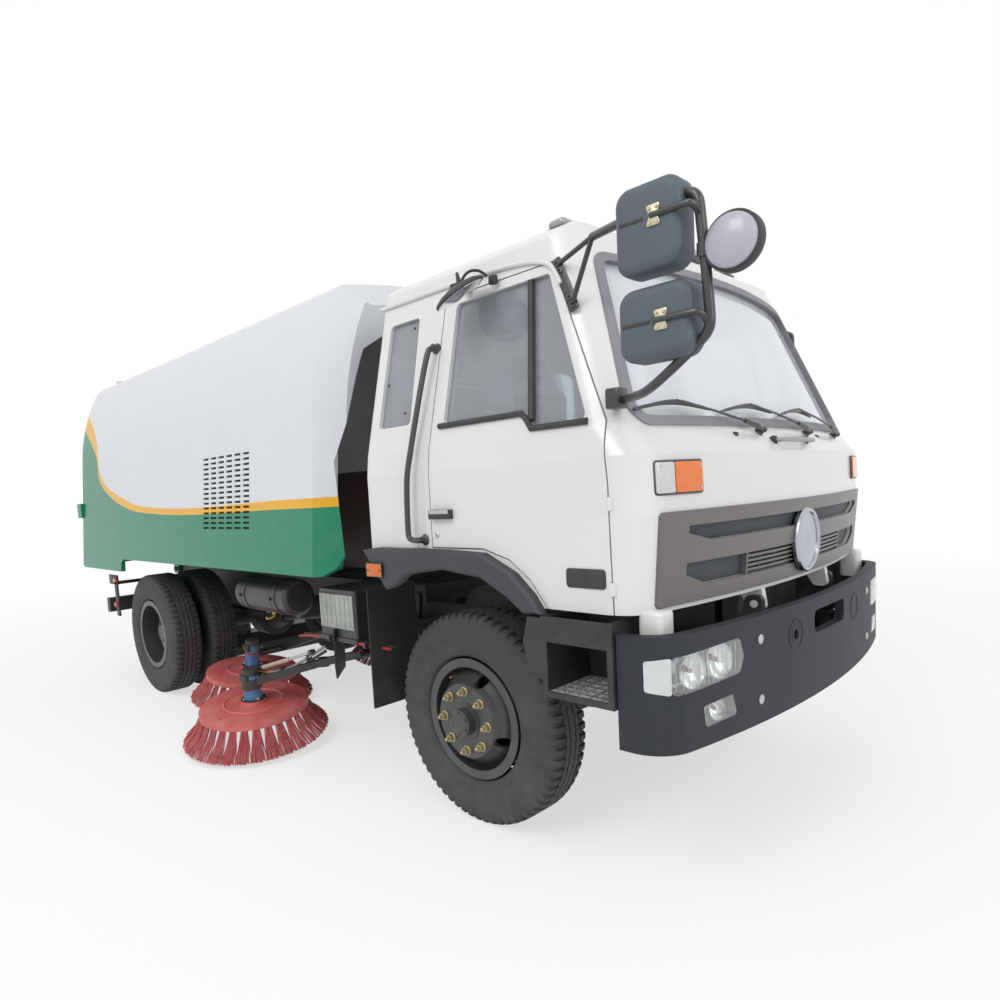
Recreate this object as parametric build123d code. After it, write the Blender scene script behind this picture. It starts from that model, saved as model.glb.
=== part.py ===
from build123d import *
import math
import os

os.makedirs("parts", exist_ok=True)

# Street sweeper on a two-axle cab-over truck. Millimetres. X points forward,
# Y to the left and Z up. While it is drawn, X = 0 is the front axle line;
# save() then moves each piece so that the origin lies at the bottom centre of
# the whole vehicle, on the ground.

# ---- driving dimensions of the chassis ------------------------------------
wheelbase = 3800
bumper_front_x = 1250            # foremost face of the bumper
mirror_front_x = 1520            # foremost point, on the round mirrors
tail_end_x = -5345               # rearmost point, on the tailgate's latch
front_axle_to_origin = -(mirror_front_x + tail_end_x) / 2
tyre_radius = 514
tyre_width = 252
rim_radius = 292                 # outside of the rim's flange
front_track = 1898
rear_outer_y = 1040              # centre plane of the outer rear wheel
dual_spacing = 317
stud_circle = 143
stud_count = 8

frame_half = 430                 # outside of the frame rails
frame_bottom_z = 680
frame_top_z = 900
rail_flange = 70
rail_wall = 9
frame_front_x = 1140
frame_rear_x = -4950
subframe_top_z = 1010

# ---- driving dimensions of the cab ----------------------------------------
cab_rear_x = -560
cab_bottom_z = 1130
cab_half = 1190                  # half width below the window sill
cab_wall = 50
cab_crown = 130                  # how far the front bows over its half width
cab_corner = 150                 # plan radius of the front corners
cab_rear_corner = 60
belt_z = 1795                    # foot of the windscreen
header_z = 2540                  # head of the windscreen
belt_front_x = 1067
header_front_x = 775
header_half = 1000
roof_z = 2725
floor_z = 1300                   # underside of the floor above the wheels
tunnel_half = 400                # engine tunnel under the seats
tunnel_top_z = 1470
cab_pivot_x = 1090               # tilting axis of the cab
cab_pivot_z = 1060
door_gap = 6
door_front_x = 900
door_rear_x = -55
door_open_angle = 65
glass_depth = 20                 # how deep the glass sits in the wall
glass_thickness = 6

# ---- driving dimensions of the sweeper body --------------------------------
body_front_x = -1035             # fold between side and front cover
body_rear_x = -5205              # mouth that the tailgate closes
body_wall = 30
bulkhead_x = -2600               # front wall of the refuse hopper
skirt_z = 1165
valance_z = 1055                 # lower edge behind the rear wheels
valance_x = -4165
cover_front_x = -905             # face of the front cover's arch
tip_pivot_x = -4900
tip_pivot_z = 955
tip_angle = 45
gate_gap = 6
gate_angle = 80

# ---- driving dimensions of the brushes --------------------------------------
disc_radius = 350
disc_thickness = 22
tip_radius = 478                 # circle of the bristle tips
tuft_count = 30
tip_height = 74                  # centre of the tip circle above the ground
disc_height = 275                # centre of the disc above the ground
brush_tilt = 7
outer_hub = (-1900, 1215)
inner_hub = (-2775, 770)
motor_radius = 52
motor_height = 215
lift_pivot_z = 640
outer_pivot = (-1120, 820)
inner_pivot_x = -1960
lift_angle = 9
pin_clearance = 0.4


# ---- drawing helpers ---------------------------------------------------------
def block(x0, x1, y0, y1, z0, z1):
    """Box between two corners."""
    size = Box(x1 - x0, y1 - y0, z1 - z0)
    return Pos((x0 + x1) / 2, (y0 + y1) / 2, (z0 + z1) / 2) * size


def along_x(face, x0, x1):
    """Extrude a face drawn in Y and Z from x0 to x1."""
    return extrude(Plane.YZ.offset(x0) * face, x1 - x0)


def along_y(face, y0, y1):
    """Extrude a face drawn in X and Z from y0 to y1."""
    return extrude(Plane.XZ.offset(-y1) * face, y1 - y0)


def along_z(face, z0, z1):
    """Extrude a face drawn in X and Y from z0 to z1."""
    return extrude(Plane.XY.offset(z0) * face, z1 - z0)


def polygon(*points):
    """Face inside straight lines."""
    return make_face(Polyline(*points, close=True))


def rounded(radius, *points):
    """Face inside straight lines whose corners are rounded."""
    return make_face(FilletPolyline(*points, radius=radius, close=True))


def rod(start, end, radius):
    """Round bar between two points."""
    a = Vector(*start)
    b = Vector(*end)
    place = Plane(origin=a, z_dir=(b - a).normalized())
    return place * extrude(Circle(radius), (b - a).length)


def bent_tube(points, radius, bend):
    """Round bar along straight runs joined by arcs."""
    path = FilletPolyline(*points, radius=bend)
    start = Plane(origin=path @ 0, z_dir=path % 0)
    return sweep(start * Circle(radius), path=path)


def other_side(shape):
    """The same shape on the other side of the vehicle."""
    return mirror(shape, about=Plane.XZ)


def solids(*shapes):
    """Every solid in the shapes, in one list."""
    return [solid for shape in shapes for solid in shape.solids()]


def save(name, *shapes):
    """Move a piece to the vehicle's origin and write it."""
    moved = [Pos(front_axle_to_origin, 0, 0) * solid for solid in solids(*shapes)]
    piece = moved[0] if len(moved) == 1 else Compound(children=moved)
    export_step(piece, "parts/" + name + ".step")


# ---- chassis frame -------------------------------------------------------------
rail_y = frame_half - rail_flange / 2
front_spring_x = (-700, 700)
rear_spring_x = (-wheelbase - 740, -wheelbase + 740)
spring_half = 35
eye_radius = 30
front_eye_z = 600
rear_eye_z = 634
front_spring_seat_z = 440
rear_spring_seat_z = 575
rear_arm_radius = 60
leaf_thickness = 13
leaf_count = 5
leaf_lap = 1.5                   # how far each leaf is let into the one above
hanger_plate = 12


def frame_rail():
    """Channel rail, open towards the middle of the truck."""
    depth = frame_top_z - frame_bottom_z
    mid_z = (frame_top_z + frame_bottom_z) / 2
    outer = Pos(-rail_y, mid_z) * Rectangle(rail_flange, depth)
    hollow = Pos(-rail_y + rail_wall, mid_z) * Rectangle(rail_flange, depth - 2 * rail_wall)
    return along_x(outer - hollow, frame_rear_x, frame_front_x)


def cross_member(x):
    """Pressed channel between the rails, on their lower flanges."""
    inner = frame_half - rail_wall
    low = frame_bottom_z + rail_wall
    shape = block(x - 45, x + 45, -inner, inner, low, low + 110)
    return shape - block(x - 38, x + 46, -inner, inner, low + 8, low + 102)


def spring_hanger(x, eye_z):
    """Two plates that hold a spring eye under the rail."""
    face = rounded(20, (x - 75, frame_bottom_z), (x - 38, eye_z - 42),
                   (x + 38, eye_z - 42), (x + 75, frame_bottom_z))
    plates = None
    for side in (-1, 1):
        y = -rail_y + side * (spring_half + hanger_plate / 2)
        plate = along_y(face, y - hanger_plate / 2, y + hanger_plate / 2)
        plates = plate if plates is None else plates + plate
    saddle = block(x - 60, x + 60, -rail_y - spring_half, -rail_y + spring_half,
                   frame_bottom_z - 16, frame_bottom_z)
    return plates + saddle


rail = frame_rail()
for hanger_x in front_spring_x:
    rail += spring_hanger(hanger_x, front_eye_z)
for hanger_x in rear_spring_x:
    rail += spring_hanger(hanger_x, rear_eye_z)
frame = rail + other_side(rail)
for member_x in (1035, -1050, -2540, -3150, -4310, -4880):
    frame += cross_member(member_x)
cab_pin_radius = 16
pivot_eye_radius = 34
pivot_ear_thickness = 30
pivot_ear = along_y(rounded(22, (cab_pivot_x - 90, frame_bottom_z + 40), (cab_pivot_x - 90, 900),
                            (cab_pivot_x - pivot_eye_radius, cab_pivot_z + pivot_eye_radius),
                            (cab_pivot_x + pivot_eye_radius, cab_pivot_z + pivot_eye_radius),
                            (cab_pivot_x + pivot_eye_radius, 800),
                            (cab_pivot_x + 20, frame_bottom_z + 40)),
                    -frame_half, -frame_half + pivot_ear_thickness)
cab_pin_hole = rod((cab_pivot_x, -600, cab_pivot_z), (cab_pivot_x, 600, cab_pivot_z),
                   cab_pin_radius + pin_clearance)
frame += pivot_ear + other_side(pivot_ear)
frame -= cab_pin_hole
shaft_front = Vector(-950, 0, 830)
shaft_rear = Vector(-wheelbase + 265, 0, tyre_radius)
shaft_radius = 48
frame -= rod(shaft_front, shaft_rear, shaft_radius + 30)

# ---- axles and springs -----------------------------------------------------------
kingpin_y = 800
kingpin_radius = 24
spindle_radius = 40
axle_z = tyre_radius
beam_face = polygon((-kingpin_y, 475), (-kingpin_y, 553), (-kingpin_y + 60, 553),
                    (-540, 440), (540, 440), (kingpin_y - 60, 553), (kingpin_y, 553),
                    (kingpin_y, 475), (kingpin_y - 90, 475), (520, 352), (-520, 352),
                    (-kingpin_y + 90, 475))


def front_axle_beam():
    """Forged beam that drops between its kingpin bosses, with I-shaped flanks."""
    beam = along_x(beam_face, -46, 46)
    flank = rounded(14, (-500, 374), (-500, 418), (500, 418), (500, 374))
    for x0, x1 in ((-47, -26), (26, 47)):
        beam -= along_x(flank, x0, x1)
    for side in (-1, 1):
        y = side * kingpin_y
        beam += rod((0, y, 475), (0, y, 553), 48)
        beam -= rod((0, y, 400), (0, y, 620), kingpin_radius + pin_clearance)
    return beam


def rear_axle_housing():
    """Banjo housing with tapered arms, bored ends and a pinion nose."""
    arm = rod((-wheelbase, -640, axle_z), (-wheelbase, 640, axle_z), rear_arm_radius)
    arm += rod((-wheelbase, -1000, axle_z), (-wheelbase, 1000, axle_z), spindle_radius)
    bowl = Pos(-wheelbase, 0, axle_z) * Rot(0, 90, 0) * extrude(Circle(205), 95, both=True)
    cover = Pos(-wheelbase - 95, 0, axle_z) * Rot(0, -90, 0) * Cone(
        190, 110, 60, align=(Align.CENTER, Align.CENTER, Align.MIN))
    nose = Pos(-wheelbase + 95, 0, axle_z) * Rot(0, 90, 0) * Cone(
        150, 75, 170, align=(Align.CENTER, Align.CENTER, Align.MIN))
    return arm + bowl + cover + nose


def spring_pack(centre_x, span_x, seat_z, eye_z):
    """Leaf spring: curved leaves of falling length with an eye at each end."""
    half = (span_x[1] - span_x[0]) / 2
    main_z = seat_z + (leaf_count - 1) * leaf_thickness
    pack = None
    for i in range(leaf_count):
        reach = half * (1 - 0.15 * i)
        low = main_z - i * leaf_thickness
        sag = (eye_z - leaf_thickness / 2 - main_z) * (reach / half) ** 2
        under = ThreePointArc((-reach, low + sag), (0, low), (reach, low + sag))
        lap = 0 if i == 0 else leaf_lap
        over = Pos(0, leaf_thickness + lap) * under
        ends = Line(under @ 1, over @ 1) + Line(over @ 0, under @ 0)
        face = Pos(centre_x, 0) * make_face(under + over + ends)
        strip = along_y(face, -rail_y - spring_half, -rail_y + spring_half)
        pack = strip if pack is None else pack + strip
    for x in span_x:
        pack += rod((x, -rail_y - spring_half, eye_z), (x, -rail_y + spring_half, eye_z), eye_radius)
    return pack


front_spring = spring_pack(0, front_spring_x, front_spring_seat_z, front_eye_z)
rear_spring = spring_pack(-wheelbase, rear_spring_x, rear_spring_seat_z, rear_eye_z)
rear_pad = block(-wheelbase - 55, -wheelbase + 55, -rail_y - 48, -rail_y + 48,
                 axle_z, rear_spring_seat_z)
rear_housing = rear_axle_housing() + rear_pad + other_side(rear_pad)
save("leaf_springs", front_spring, other_side(front_spring),
     rear_spring, other_side(rear_spring))
save("axles", front_axle_beam(), rear_housing)


# ---- power unit, shaft and radiator ------------------------------------------------
engine = block(-330, 860, -310, 310, 575, 1330)
engine = chamfer(engine.edges().filter_by(Axis.X), 70)
gearbox = Pos(-330, 0, 830) * Rot(0, -90, 0) * Cone(
    230, 120, 620, align=(Align.CENTER, Align.CENTER, Align.MIN))
engine_mount = block(200, 320, 300, frame_half - rail_wall, 730, 790)
engine += gearbox + engine_mount + other_side(engine_mount)
shaft = rod(shaft_front, shaft_rear, shaft_radius) - engine - rear_housing
radiator = block(905, 980, -330, 330, 640, 1090)
radiator_ear = block(920, 965, 330, frame_half - rail_wall, 720, 800)
radiator += radiator_ear + other_side(radiator_ear)
save("engine_block", engine)
save("driveshaft", shaft)
save("radiator", radiator)

# ---- tanks and battery box ------------------------------------------------------------
air_tank_x = (-2360, -1660)
air_tank_y = 950
air_tank_z = 960
air_tank_radius = 122
strap_width = 45
strap_thickness = 5


def tank_strap(x):
    """Band round the air tank with the bracket that carries it."""
    ring = Circle(air_tank_radius + strap_thickness) - Circle(air_tank_radius - 2)
    band = along_x(Pos(-air_tank_y, air_tank_z) * ring, x, x + strap_width)
    arm = block(x, x + strap_width, -air_tank_y + 60, -frame_half, 800, air_tank_z - 95)
    return band + arm


air_tank = rod((air_tank_x[0], -air_tank_y, air_tank_z),
               (air_tank_x[1], -air_tank_y, air_tank_z), air_tank_radius)
air_tank = fillet(air_tank.edges().filter_by(GeomType.CIRCLE), 35)
for strap_x in (air_tank_x[0] + 120, air_tank_x[1] - 165):
    air_tank += tank_strap(strap_x)
save("air_tank", air_tank)

bracket_face_y = frame_half + 14  # outside of the brush arms' bracket plates
battery_x = (-1215, -850)
battery_y = (-1090, -640)
battery_z = (800, 1075)
battery = block(*battery_x, *battery_y, *battery_z)
battery = fillet(battery.edges().filter_by(Axis.Z), 18)
battery_tray = block(battery_x[0] - 12, battery_x[1] + 12, battery_y[0] - 12, -bracket_face_y,
                     battery_z[0] - 25, battery_z[0])
save("battery_box", battery + battery_tray)

fuel_x = (-2620, -1620)
fuel_outline = rounded(90, (480, 705), (480, 1080), (1080, 1080), (1080, 705))
fuel_tank = along_x(fuel_outline, *fuel_x)
for strap_x in (fuel_x[0] + 160, fuel_x[1] - 220):
    strap = along_x(rounded(94, (475, 700), (475, 1085), (1085, 1085), (1085, 700)),
                    strap_x, strap_x + 60)
    fuel_tank += strap + block(strap_x, strap_x + 60, frame_half, 500, 740, 860)
save("fuel_tank", fuel_tank)

# ---- bumper with its lamps ----------------------------------------------------------------
bumper_half = 1225
bumper_z = (635, 1060)
bumper_corner_x = 1110
bumper_rear_x = 930
bumper_skin = 40
bumper_corner = 165


def bowed_plan(front_x, corner_x, half, rear_x, corner, rear_corner=0):
    """Plan outline with a bowed front edge and rounded corners."""
    left = Line((rear_x, half), (corner_x, half))
    bow = ThreePointArc((corner_x, half), (front_x, 0), (corner_x, -half))
    right = Line((corner_x, -half), (rear_x, -half))
    back = Line((rear_x, -half), (rear_x, half))
    face = make_face(left + bow + right + back)
    face = fillet(face.vertices().group_by(Axis.X)[-1], corner)
    if rear_corner:
        face = fillet(face.vertices().group_by(Axis.X)[0], rear_corner)
    return face


bumper_outer = bowed_plan(bumper_front_x, bumper_corner_x, bumper_half, bumper_rear_x,
                          bumper_corner)
bumper_inner = bowed_plan(bumper_front_x - bumper_skin, bumper_corner_x - bumper_skin,
                          bumper_half - bumper_skin, bumper_rear_x, bumper_corner - bumper_skin)
bumper = along_z(bumper_outer - bumper_inner, *bumper_z)
headlamp_outline = rounded(28, (-1165, 845), (-1165, 985), (-800, 1000), (-775, 925), (-800, 865))
foglamp_outline = rounded(14, (-1010, 705), (-1020, 785), (-850, 795), (-825, 712))
centre_opening = rounded(30, (-190, 905), (-190, 1005), (190, 1005), (190, 905))
lamp_cut = along_x(headlamp_outline, 900, 1300) + along_x(foglamp_outline, 900, 1300)
lamp_solid = along_z(bumper_outer, *bumper_z) - along_z(bowed_plan(
    bumper_front_x - 55, bumper_corner_x - 55, bumper_half - 55, bumper_rear_x,
    bumper_corner - 55), *bumper_z)
headlamps = lamp_solid & lamp_cut
bumper = bumper - lamp_cut - other_side(lamp_cut) - along_x(centre_opening, 1150, 1300)
bumper_arm = block(1060, 1212, -frame_half - 30, -frame_half, 700, 860)
bumper += bumper_arm + other_side(bumper_arm)
tow_bore_radius = 21
tow_sleeve_radius = 38
tow_y = -372
tow_z = 935
tow_sleeve_x = (1150, 1236)
bumper += rod((tow_sleeve_x[0], tow_y, tow_z), (tow_sleeve_x[1], tow_y, tow_z), tow_sleeve_radius)
bumper -= rod((1100, tow_y, tow_z), (1300, tow_y, tow_z), tow_bore_radius)
save("bumper", bumper)
save("headlamps", headlamps, other_side(headlamps))

# ---- cab shell ---------------------------------------------------------------------------------
screen_lean = (header_front_x - belt_front_x) / (header_z - belt_z)
side_lean = (header_half - (cab_half - 12)) / (header_z - belt_z)
loft_top_z = 2850
cab_levels = (                   # height, front x at the centre, half width
    (cab_bottom_z - 10, 1120, cab_half),
    (1480, 1150, cab_half),
    (1695, 1143, cab_half),
    (belt_z, belt_front_x, cab_half - 12),
    (loft_top_z, belt_front_x + screen_lean * (loft_top_z - belt_z),
     cab_half - 12 + side_lean * (loft_top_z - belt_z)),
)
roof_edge_z = 2535
roof_edge_half = 1000


def cab_form(inset):
    """The closed outside of the cab, moved inwards by inset."""
    sections = []
    for z, front, half in cab_levels:
        face = bowed_plan(front - inset, front - cab_crown - inset, half - inset,
                          cab_rear_x + inset, cab_corner - inset, max(cab_rear_corner - inset, 8))
        sections.append(Pos(0, 0, z) * face)
    walls = loft(sections, ruled=True)
    rear = cab_rear_x + inset
    top = roof_z - inset
    side = make_face(
        Polyline((1400, 1000), (rear - 60, 1000), (rear - 60, top - 320))
        + ThreePointArc((rear - 60, top - 320), (rear + 35, top - 95), (rear + 130, top - 45))
        + ThreePointArc((rear + 130, top - 45), (-50, top), (480 - inset, top - 50))
        + ThreePointArc((480 - inset, top - 50), (660 - inset, top - 95), (775 - inset, top - 175))
        + Polyline((775 - inset, top - 175), (1400, top - 1600), (1400, 1000)))
    edge = roof_edge_half - inset
    front = make_face(
        Polyline((-1400, 1000), (-1400, top - 600), (-edge - 20, top - 190))
        + ThreePointArc((-edge - 20, top - 190), (-edge + 45, top - 95), (-edge + 150, top - 55))
        + ThreePointArc((-edge + 150, top - 55), (0, top), (edge - 150, top - 55))
        + ThreePointArc((edge - 150, top - 55), (edge - 45, top - 95), (edge + 20, top - 190))
        + Polyline((edge + 20, top - 190), (1400, top - 600), (1400, 1000), (-1400, 1000)))
    return walls & along_y(side, -1300, 1300) & along_x(front, -700, 1400)


arch_outline = ((-700, 1000), (-700, floor_z), (330, floor_z), (560, cab_bottom_z), (560, 1000))
raised_floor = ((-700, 1000), (-700, floor_z + cab_wall), (355, floor_z + cab_wall),
                (585, cab_bottom_z + cab_wall), (1400, cab_bottom_z + cab_wall), (1400, 1000))
door_outline = ((door_rear_x, 1352), (265, 1352), (410, 1310), (520, 1230), (612, cab_bottom_z - 20),
                (door_front_x, cab_bottom_z - 20), (door_front_x - 6, 1600), (874, 1824),
                (560, 2485), (door_rear_x, 2485))
door_window = ((20, 1900), (490, 1900), (545, 1835), (805, 1835), (548, 2445), (20, 2445))
quarter_window = ((-455, 1925), (-215, 1925), (-235, 2440), (-455, 2440))
screen_outline = ((-1095, 1815), (-905, 2505), (905, 2505), (1095, 1815))
screen_corner = 70
rear_window = ((-620, 1960), (-620, 2330), (620, 2330), (620, 1960))


def grown(points, amount):
    """Offset outline of a face inside straight lines."""
    return offset(polygon(*points), amount, kind=Kind.INTERSECTION)


def softened(points, amount, radius):
    """The same with its corners rounded."""
    face = grown(points, amount)
    return fillet(face.vertices(), radius)


outer_form = cab_form(0)
inner_form = cab_form(cab_wall)
glass_outer = cab_form(glass_depth)
glass_inner = cab_form(glass_depth + glass_thickness)
glass_skin = glass_outer - glass_inner

side_reach = (-1300, -700)
arch_prism = along_y(polygon(*arch_outline), -1300, 1300)
cavity = inner_form - along_y(polygon(*raised_floor), -1300, 1300)
cavity -= block(-700, 900, -tunnel_half - cab_wall, tunnel_half + cab_wall,
                1000, tunnel_top_z + cab_wall)
tunnel = block(-700, 905, -tunnel_half, tunnel_half, 1000, tunnel_top_z)
cab = outer_form - cavity - arch_prism - tunnel

door_prism = along_y(grown(door_outline, door_gap), *side_reach)
side_band = cab_form(-5) - cab_form(cab_wall + 6)
doorway = side_band & door_prism
cab = cab - doorway - other_side(doorway)
screen_prism = along_x(softened(screen_outline, 0, screen_corner), 300, 1400)
cab = cab - screen_prism
quarter_prism = along_y(softened(quarter_window, 0, 25), *side_reach)
cab = cab - quarter_prism - other_side(quarter_prism)
rear_prism = along_x(softened(rear_window, 0, 60), -700, -400)
cab = cab - rear_prism

door_wall = outer_form - inner_form
window_prism = along_y(softened(door_window, 0, 25), *side_reach)
door = (door_wall & along_y(polygon(*door_outline), *side_reach)) - window_prism
door_glass = glass_skin & window_prism
side_glass = glass_skin & quarter_prism
rear_glass = glass_skin & rear_prism

# ---- windscreen, its seal and the grille --------------------------------------------------------
seal_width = 25
seal_lip = 12
seal_proud = 8
screen_daylight = along_x(softened(screen_outline, -seal_width, screen_corner - 20), 300, 1400)
seal_cover = along_x(softened(screen_outline, seal_lip, screen_corner + 10), 300, 1400)
seal_channel = ((screen_prism - screen_daylight) & outer_form) - inner_form
seal_cap = ((seal_cover - screen_daylight) & cab_form(-seal_proud)) - outer_form
seal = seal_channel + seal_cap
windscreen = (screen_daylight & glass_outer) - glass_inner

grille_proud = 10
grille_recess = 30
grille_outline = ((-1092, 1138), (-1092, 1485), (1092, 1485), (1092, 1138))
upper_slot = ((-940, 1428), (940, 1428), (940, 1400), (800, 1366), (-800, 1366), (-940, 1400))
lower_slot = ((-945, 1289), (945, 1289), (945, 1245), (823, 1200), (-823, 1200), (-945, 1245))
louvre_half = 540
louvre_z = (1214, 1233, 1252, 1271)
louvre_height = 8
slots = along_x(polygon(*upper_slot), 850, 1300) + along_x(polygon(*lower_slot), 850, 1300)
grille_slab = along_x(rounded(18, *grille_outline), 850, 1300) & cab_form(-grille_proud)
grille = grille_slab - outer_form - slots
louvre_skin = cab_form(-grille_proud + 3) - cab_form(grille_recess)
for z in louvre_z:
    bar = block(850, 1300, -louvre_half, louvre_half, z, z + louvre_height)
    grille += louvre_skin & bar
for y in (-louvre_half, 0, louvre_half):
    post = block(850, 1300, y - 5, y + 5, 1200, 1289)
    grille += (cab_form(-grille_proud + 3) - cab_form(grille_recess - 12)) & post
cab -= (outer_form - cab_form(grille_recess)) & slots

# ---- tilting lugs -------------------------------------------------------------------------------------
lug_y = (-frame_half + pivot_ear_thickness + 6, -frame_half + pivot_ear_thickness + 41)
cab_lug = along_y(rounded(20, (cab_pivot_x - 110, cab_bottom_z + 20),
                          (cab_pivot_x + 12, cab_bottom_z + 20),
                          (cab_pivot_x + 32, cab_pivot_z - 32),
                          (cab_pivot_x - 32, cab_pivot_z - 32)), *lug_y)
cab_pin = rod((cab_pivot_x, -frame_half - 4, cab_pivot_z), (cab_pivot_x, lug_y[1], cab_pivot_z),
              cab_pin_radius)
cab += cab_lug + cab_pin + other_side(cab_lug + cab_pin)

# ---- door hinges ----------------------------------------------------------------------------------------
hinge_pin_radius = 7
hinge_z = ((1190, 1240), (1500, 1550))
for low_z, high_z in hinge_z:
    hinge = rod((door_front_x, -cab_half, low_z), (door_front_x, -cab_half, high_z), hinge_pin_radius)
    hinge += block(door_front_x + 3, door_front_x + 15, -cab_half - 4, -cab_half + 12,
                   low_z + 3, high_z - 3)
    cab += hinge + other_side(hinge)
    door -= rod((door_front_x, -cab_half, low_z - 3), (door_front_x, -cab_half, high_z + 3),
                hinge_pin_radius + pin_clearance)

# ---- door furniture ------------------------------------------------------------------------------------
handle_x = (-42, 86)
handle_z = (1482, 1520)
handle_proud = 28


def door_handle():
    """Pull handle bridging a shallow space on the door's skin."""
    y = -cab_half
    x0, x1 = handle_x
    grip = block(x0, x1, y - handle_proud, y - handle_proud + 12, *handle_z)
    ends = block(x0, x0 + 18, y - handle_proud, y + 2, *handle_z)
    ends += block(x1 - 18, x1, y - handle_proud, y + 2, *handle_z)
    return grip + ends


door += door_handle()
save("cab_shell", cab)
save("windscreen_seal", seal)
save("windscreen", windscreen)
save("cab_glass", side_glass, other_side(side_glass), rear_glass)
save("grille_panel", grille)
save("door_right", door)
save("door_left", other_side(door))
save("door_glass_right", door_glass)
save("door_glass_left", other_side(door_glass))

# ---- nose lamps and roof lamps ---------------------------------------------------------------------------
nose_lamp_y = (-1100, -850)
nose_lamp_z = (1545, 1670)
roof_lamps = ((476, 830), (573, 450), (610, 0))
roof_lamp_half = 52
nose_outline = rounded(16, (nose_lamp_y[0], nose_lamp_z[0]), (nose_lamp_y[0], nose_lamp_z[1]),
                       (nose_lamp_y[1], nose_lamp_z[1]), (nose_lamp_y[1], nose_lamp_z[0]))
nose_lamp = (along_x(nose_outline, 850, 1300) & cab_form(-14)) - outer_form
lamps = [nose_lamp, other_side(nose_lamp)]
for x, y in roof_lamps:
    roof_lamp = block(x - 35, x + 35, -y - roof_lamp_half, -y + roof_lamp_half, 2600, 2712)
    roof_lamp = fillet(roof_lamp.faces().sort_by(Axis.Z)[-1].edges(), 14)
    roof_lamp = (roof_lamp - outer_form).solids().sort_by(Axis.Z)[-1]
    lamps.append(roof_lamp)
    if y:
        lamps.append(other_side(roof_lamp))
save("cab_lamps", *lamps)

# ---- wheel arch flares, mudflaps and steps ------------------------------------------------------------------
flare_outline = ((-547, 1330), (-436, 1344), (46, 1344), (285, 1334), (452, 1257), (548, 1171),
                 (597, 1100), (500, 1100), (420, 1157), (272, 1231), (37, 1255), (-210, 1220),
                 (-315, 1156), (-372, 1138))
flare_y = (-cab_half - 50, -cab_half)
liner_y = -860
liner_thickness = 6
leg_outline = ((506, 993), (534, 1092), (606, 1092), (606, 839), (526, 881))
flap_x = -625
flap_thickness = 8
step_x = (600, 925)
step_y = (-1240, -950)
step_z = (780, 1098)
step_wall = 25


def flare():
    """Arch moulding of a front wheel with rounded outer edges and a side marker."""
    face = polygon(*flare_outline)
    lip = along_y(face, *flare_y)
    lip = chamfer(lip.faces().sort_by(Axis.Y)[0].edges(), 12)
    marker = block(-500, -375, flare_y[0] - 12, flare_y[0] + 4, 1200, 1270)
    return lip + marker


def mudflap():
    """Rubber flap behind a front wheel on a bar from the frame rail."""
    flap = block(flap_x - flap_thickness, flap_x, -1165, -835, 470, 1115)
    bar = block(flap_x - flap_thickness - 14, flap_x - flap_thickness, -1150, -frame_half, 850, 885)
    return flap + bar


def step():
    """Open entry step: end plates, barred tread and the panel above it."""
    x0, x1 = step_x
    y0, y1 = step_y
    z0, z1 = step_z
    body = block(x0, x0 + step_wall, y0, y1, z0, z1) + block(x1 - step_wall, x1, y0, y1, z0, z1)
    body += block(x0, x1, y0, y0 + 15, z1 - 98, z1) + block(x0, x1, y1 - 8, y1, z0, z1)
    for i in range(7):
        y = y0 + i * 45
        body += block(x0, x1, y, y + 10, z0, z0 + 24)
    for i in range(5):
        x = x0 + step_wall + 22 + i * 52
        body += block(x, x + 8, y0, y1, z0 + 6, z0 + 24)
    body += along_y(polygon(*leg_outline), flare_y[0], flare_y[1] + 30)
    arm = block(x0 + 90, x0 + 150, y1, -frame_half, z0 + 40, z0 + 80)
    return body + arm


save("fender_flares", flare(), other_side(flare()))
save("mudflaps", mudflap(), other_side(mudflap()))
save("steps", step(), other_side(step()))

# ---- inside the cab ----------------------------------------------------------------------------------------------
seat_width = 480
seat_y = 715
seat_top_z = 1655
cab_floor_z = floor_z + cab_wall
tunnel_seat_z = tunnel_top_z + cab_wall
wheel_centre = Vector(560, 700, 1835)
wheel_ring_radius = 215
wheel_tilt = 35


def seat(y, width, base_z):
    """Seat: base, cushion, leaning backrest and headrest."""
    half = width / 2
    base = block(-380, -30, y - half + 60, y + half - 60, base_z, seat_top_z - 100)
    cushion = block(-420, 60, y - half, y + half, seat_top_z - 130, seat_top_z)
    cushion = fillet(cushion.edges().filter_by(Axis.Y), 35)
    back_face = polygon((-400, seat_top_z - 60), (-290, seat_top_z - 60), (-370, 2190), (-465, 2190))
    back = along_y(back_face, y - half, y + half)
    back = fillet(back.edges().filter_by(Axis.Y), 30)
    rest_face = polygon((-462, 2215), (-380, 2215), (-398, 2370), (-475, 2370))
    rest = along_y(rest_face, y - 130, y + 130)
    rest = fillet(rest.edges().filter_by(Axis.Y), 25)
    posts = rod((-420, y - 60, 2150), (-428, y - 60, 2260), 7)
    posts += rod((-420, y + 60, 2150), (-428, y + 60, 2260), 7)
    return base + cushion + back + rest + posts


save("seats", seat(-seat_y, seat_width, cab_floor_z), seat(seat_y, seat_width, cab_floor_z),
     seat(0, 2 * tunnel_half - 60, tunnel_seat_z))
dash_outline = ((760, 1526), (705, 1600), (730, 1730), (860, 1778), (1200, 1778), (1200, 1526))
dash = cab_form(cab_wall) & along_y(polygon(*dash_outline), -1085, 1085)
save("dashboard", dash)


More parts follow.
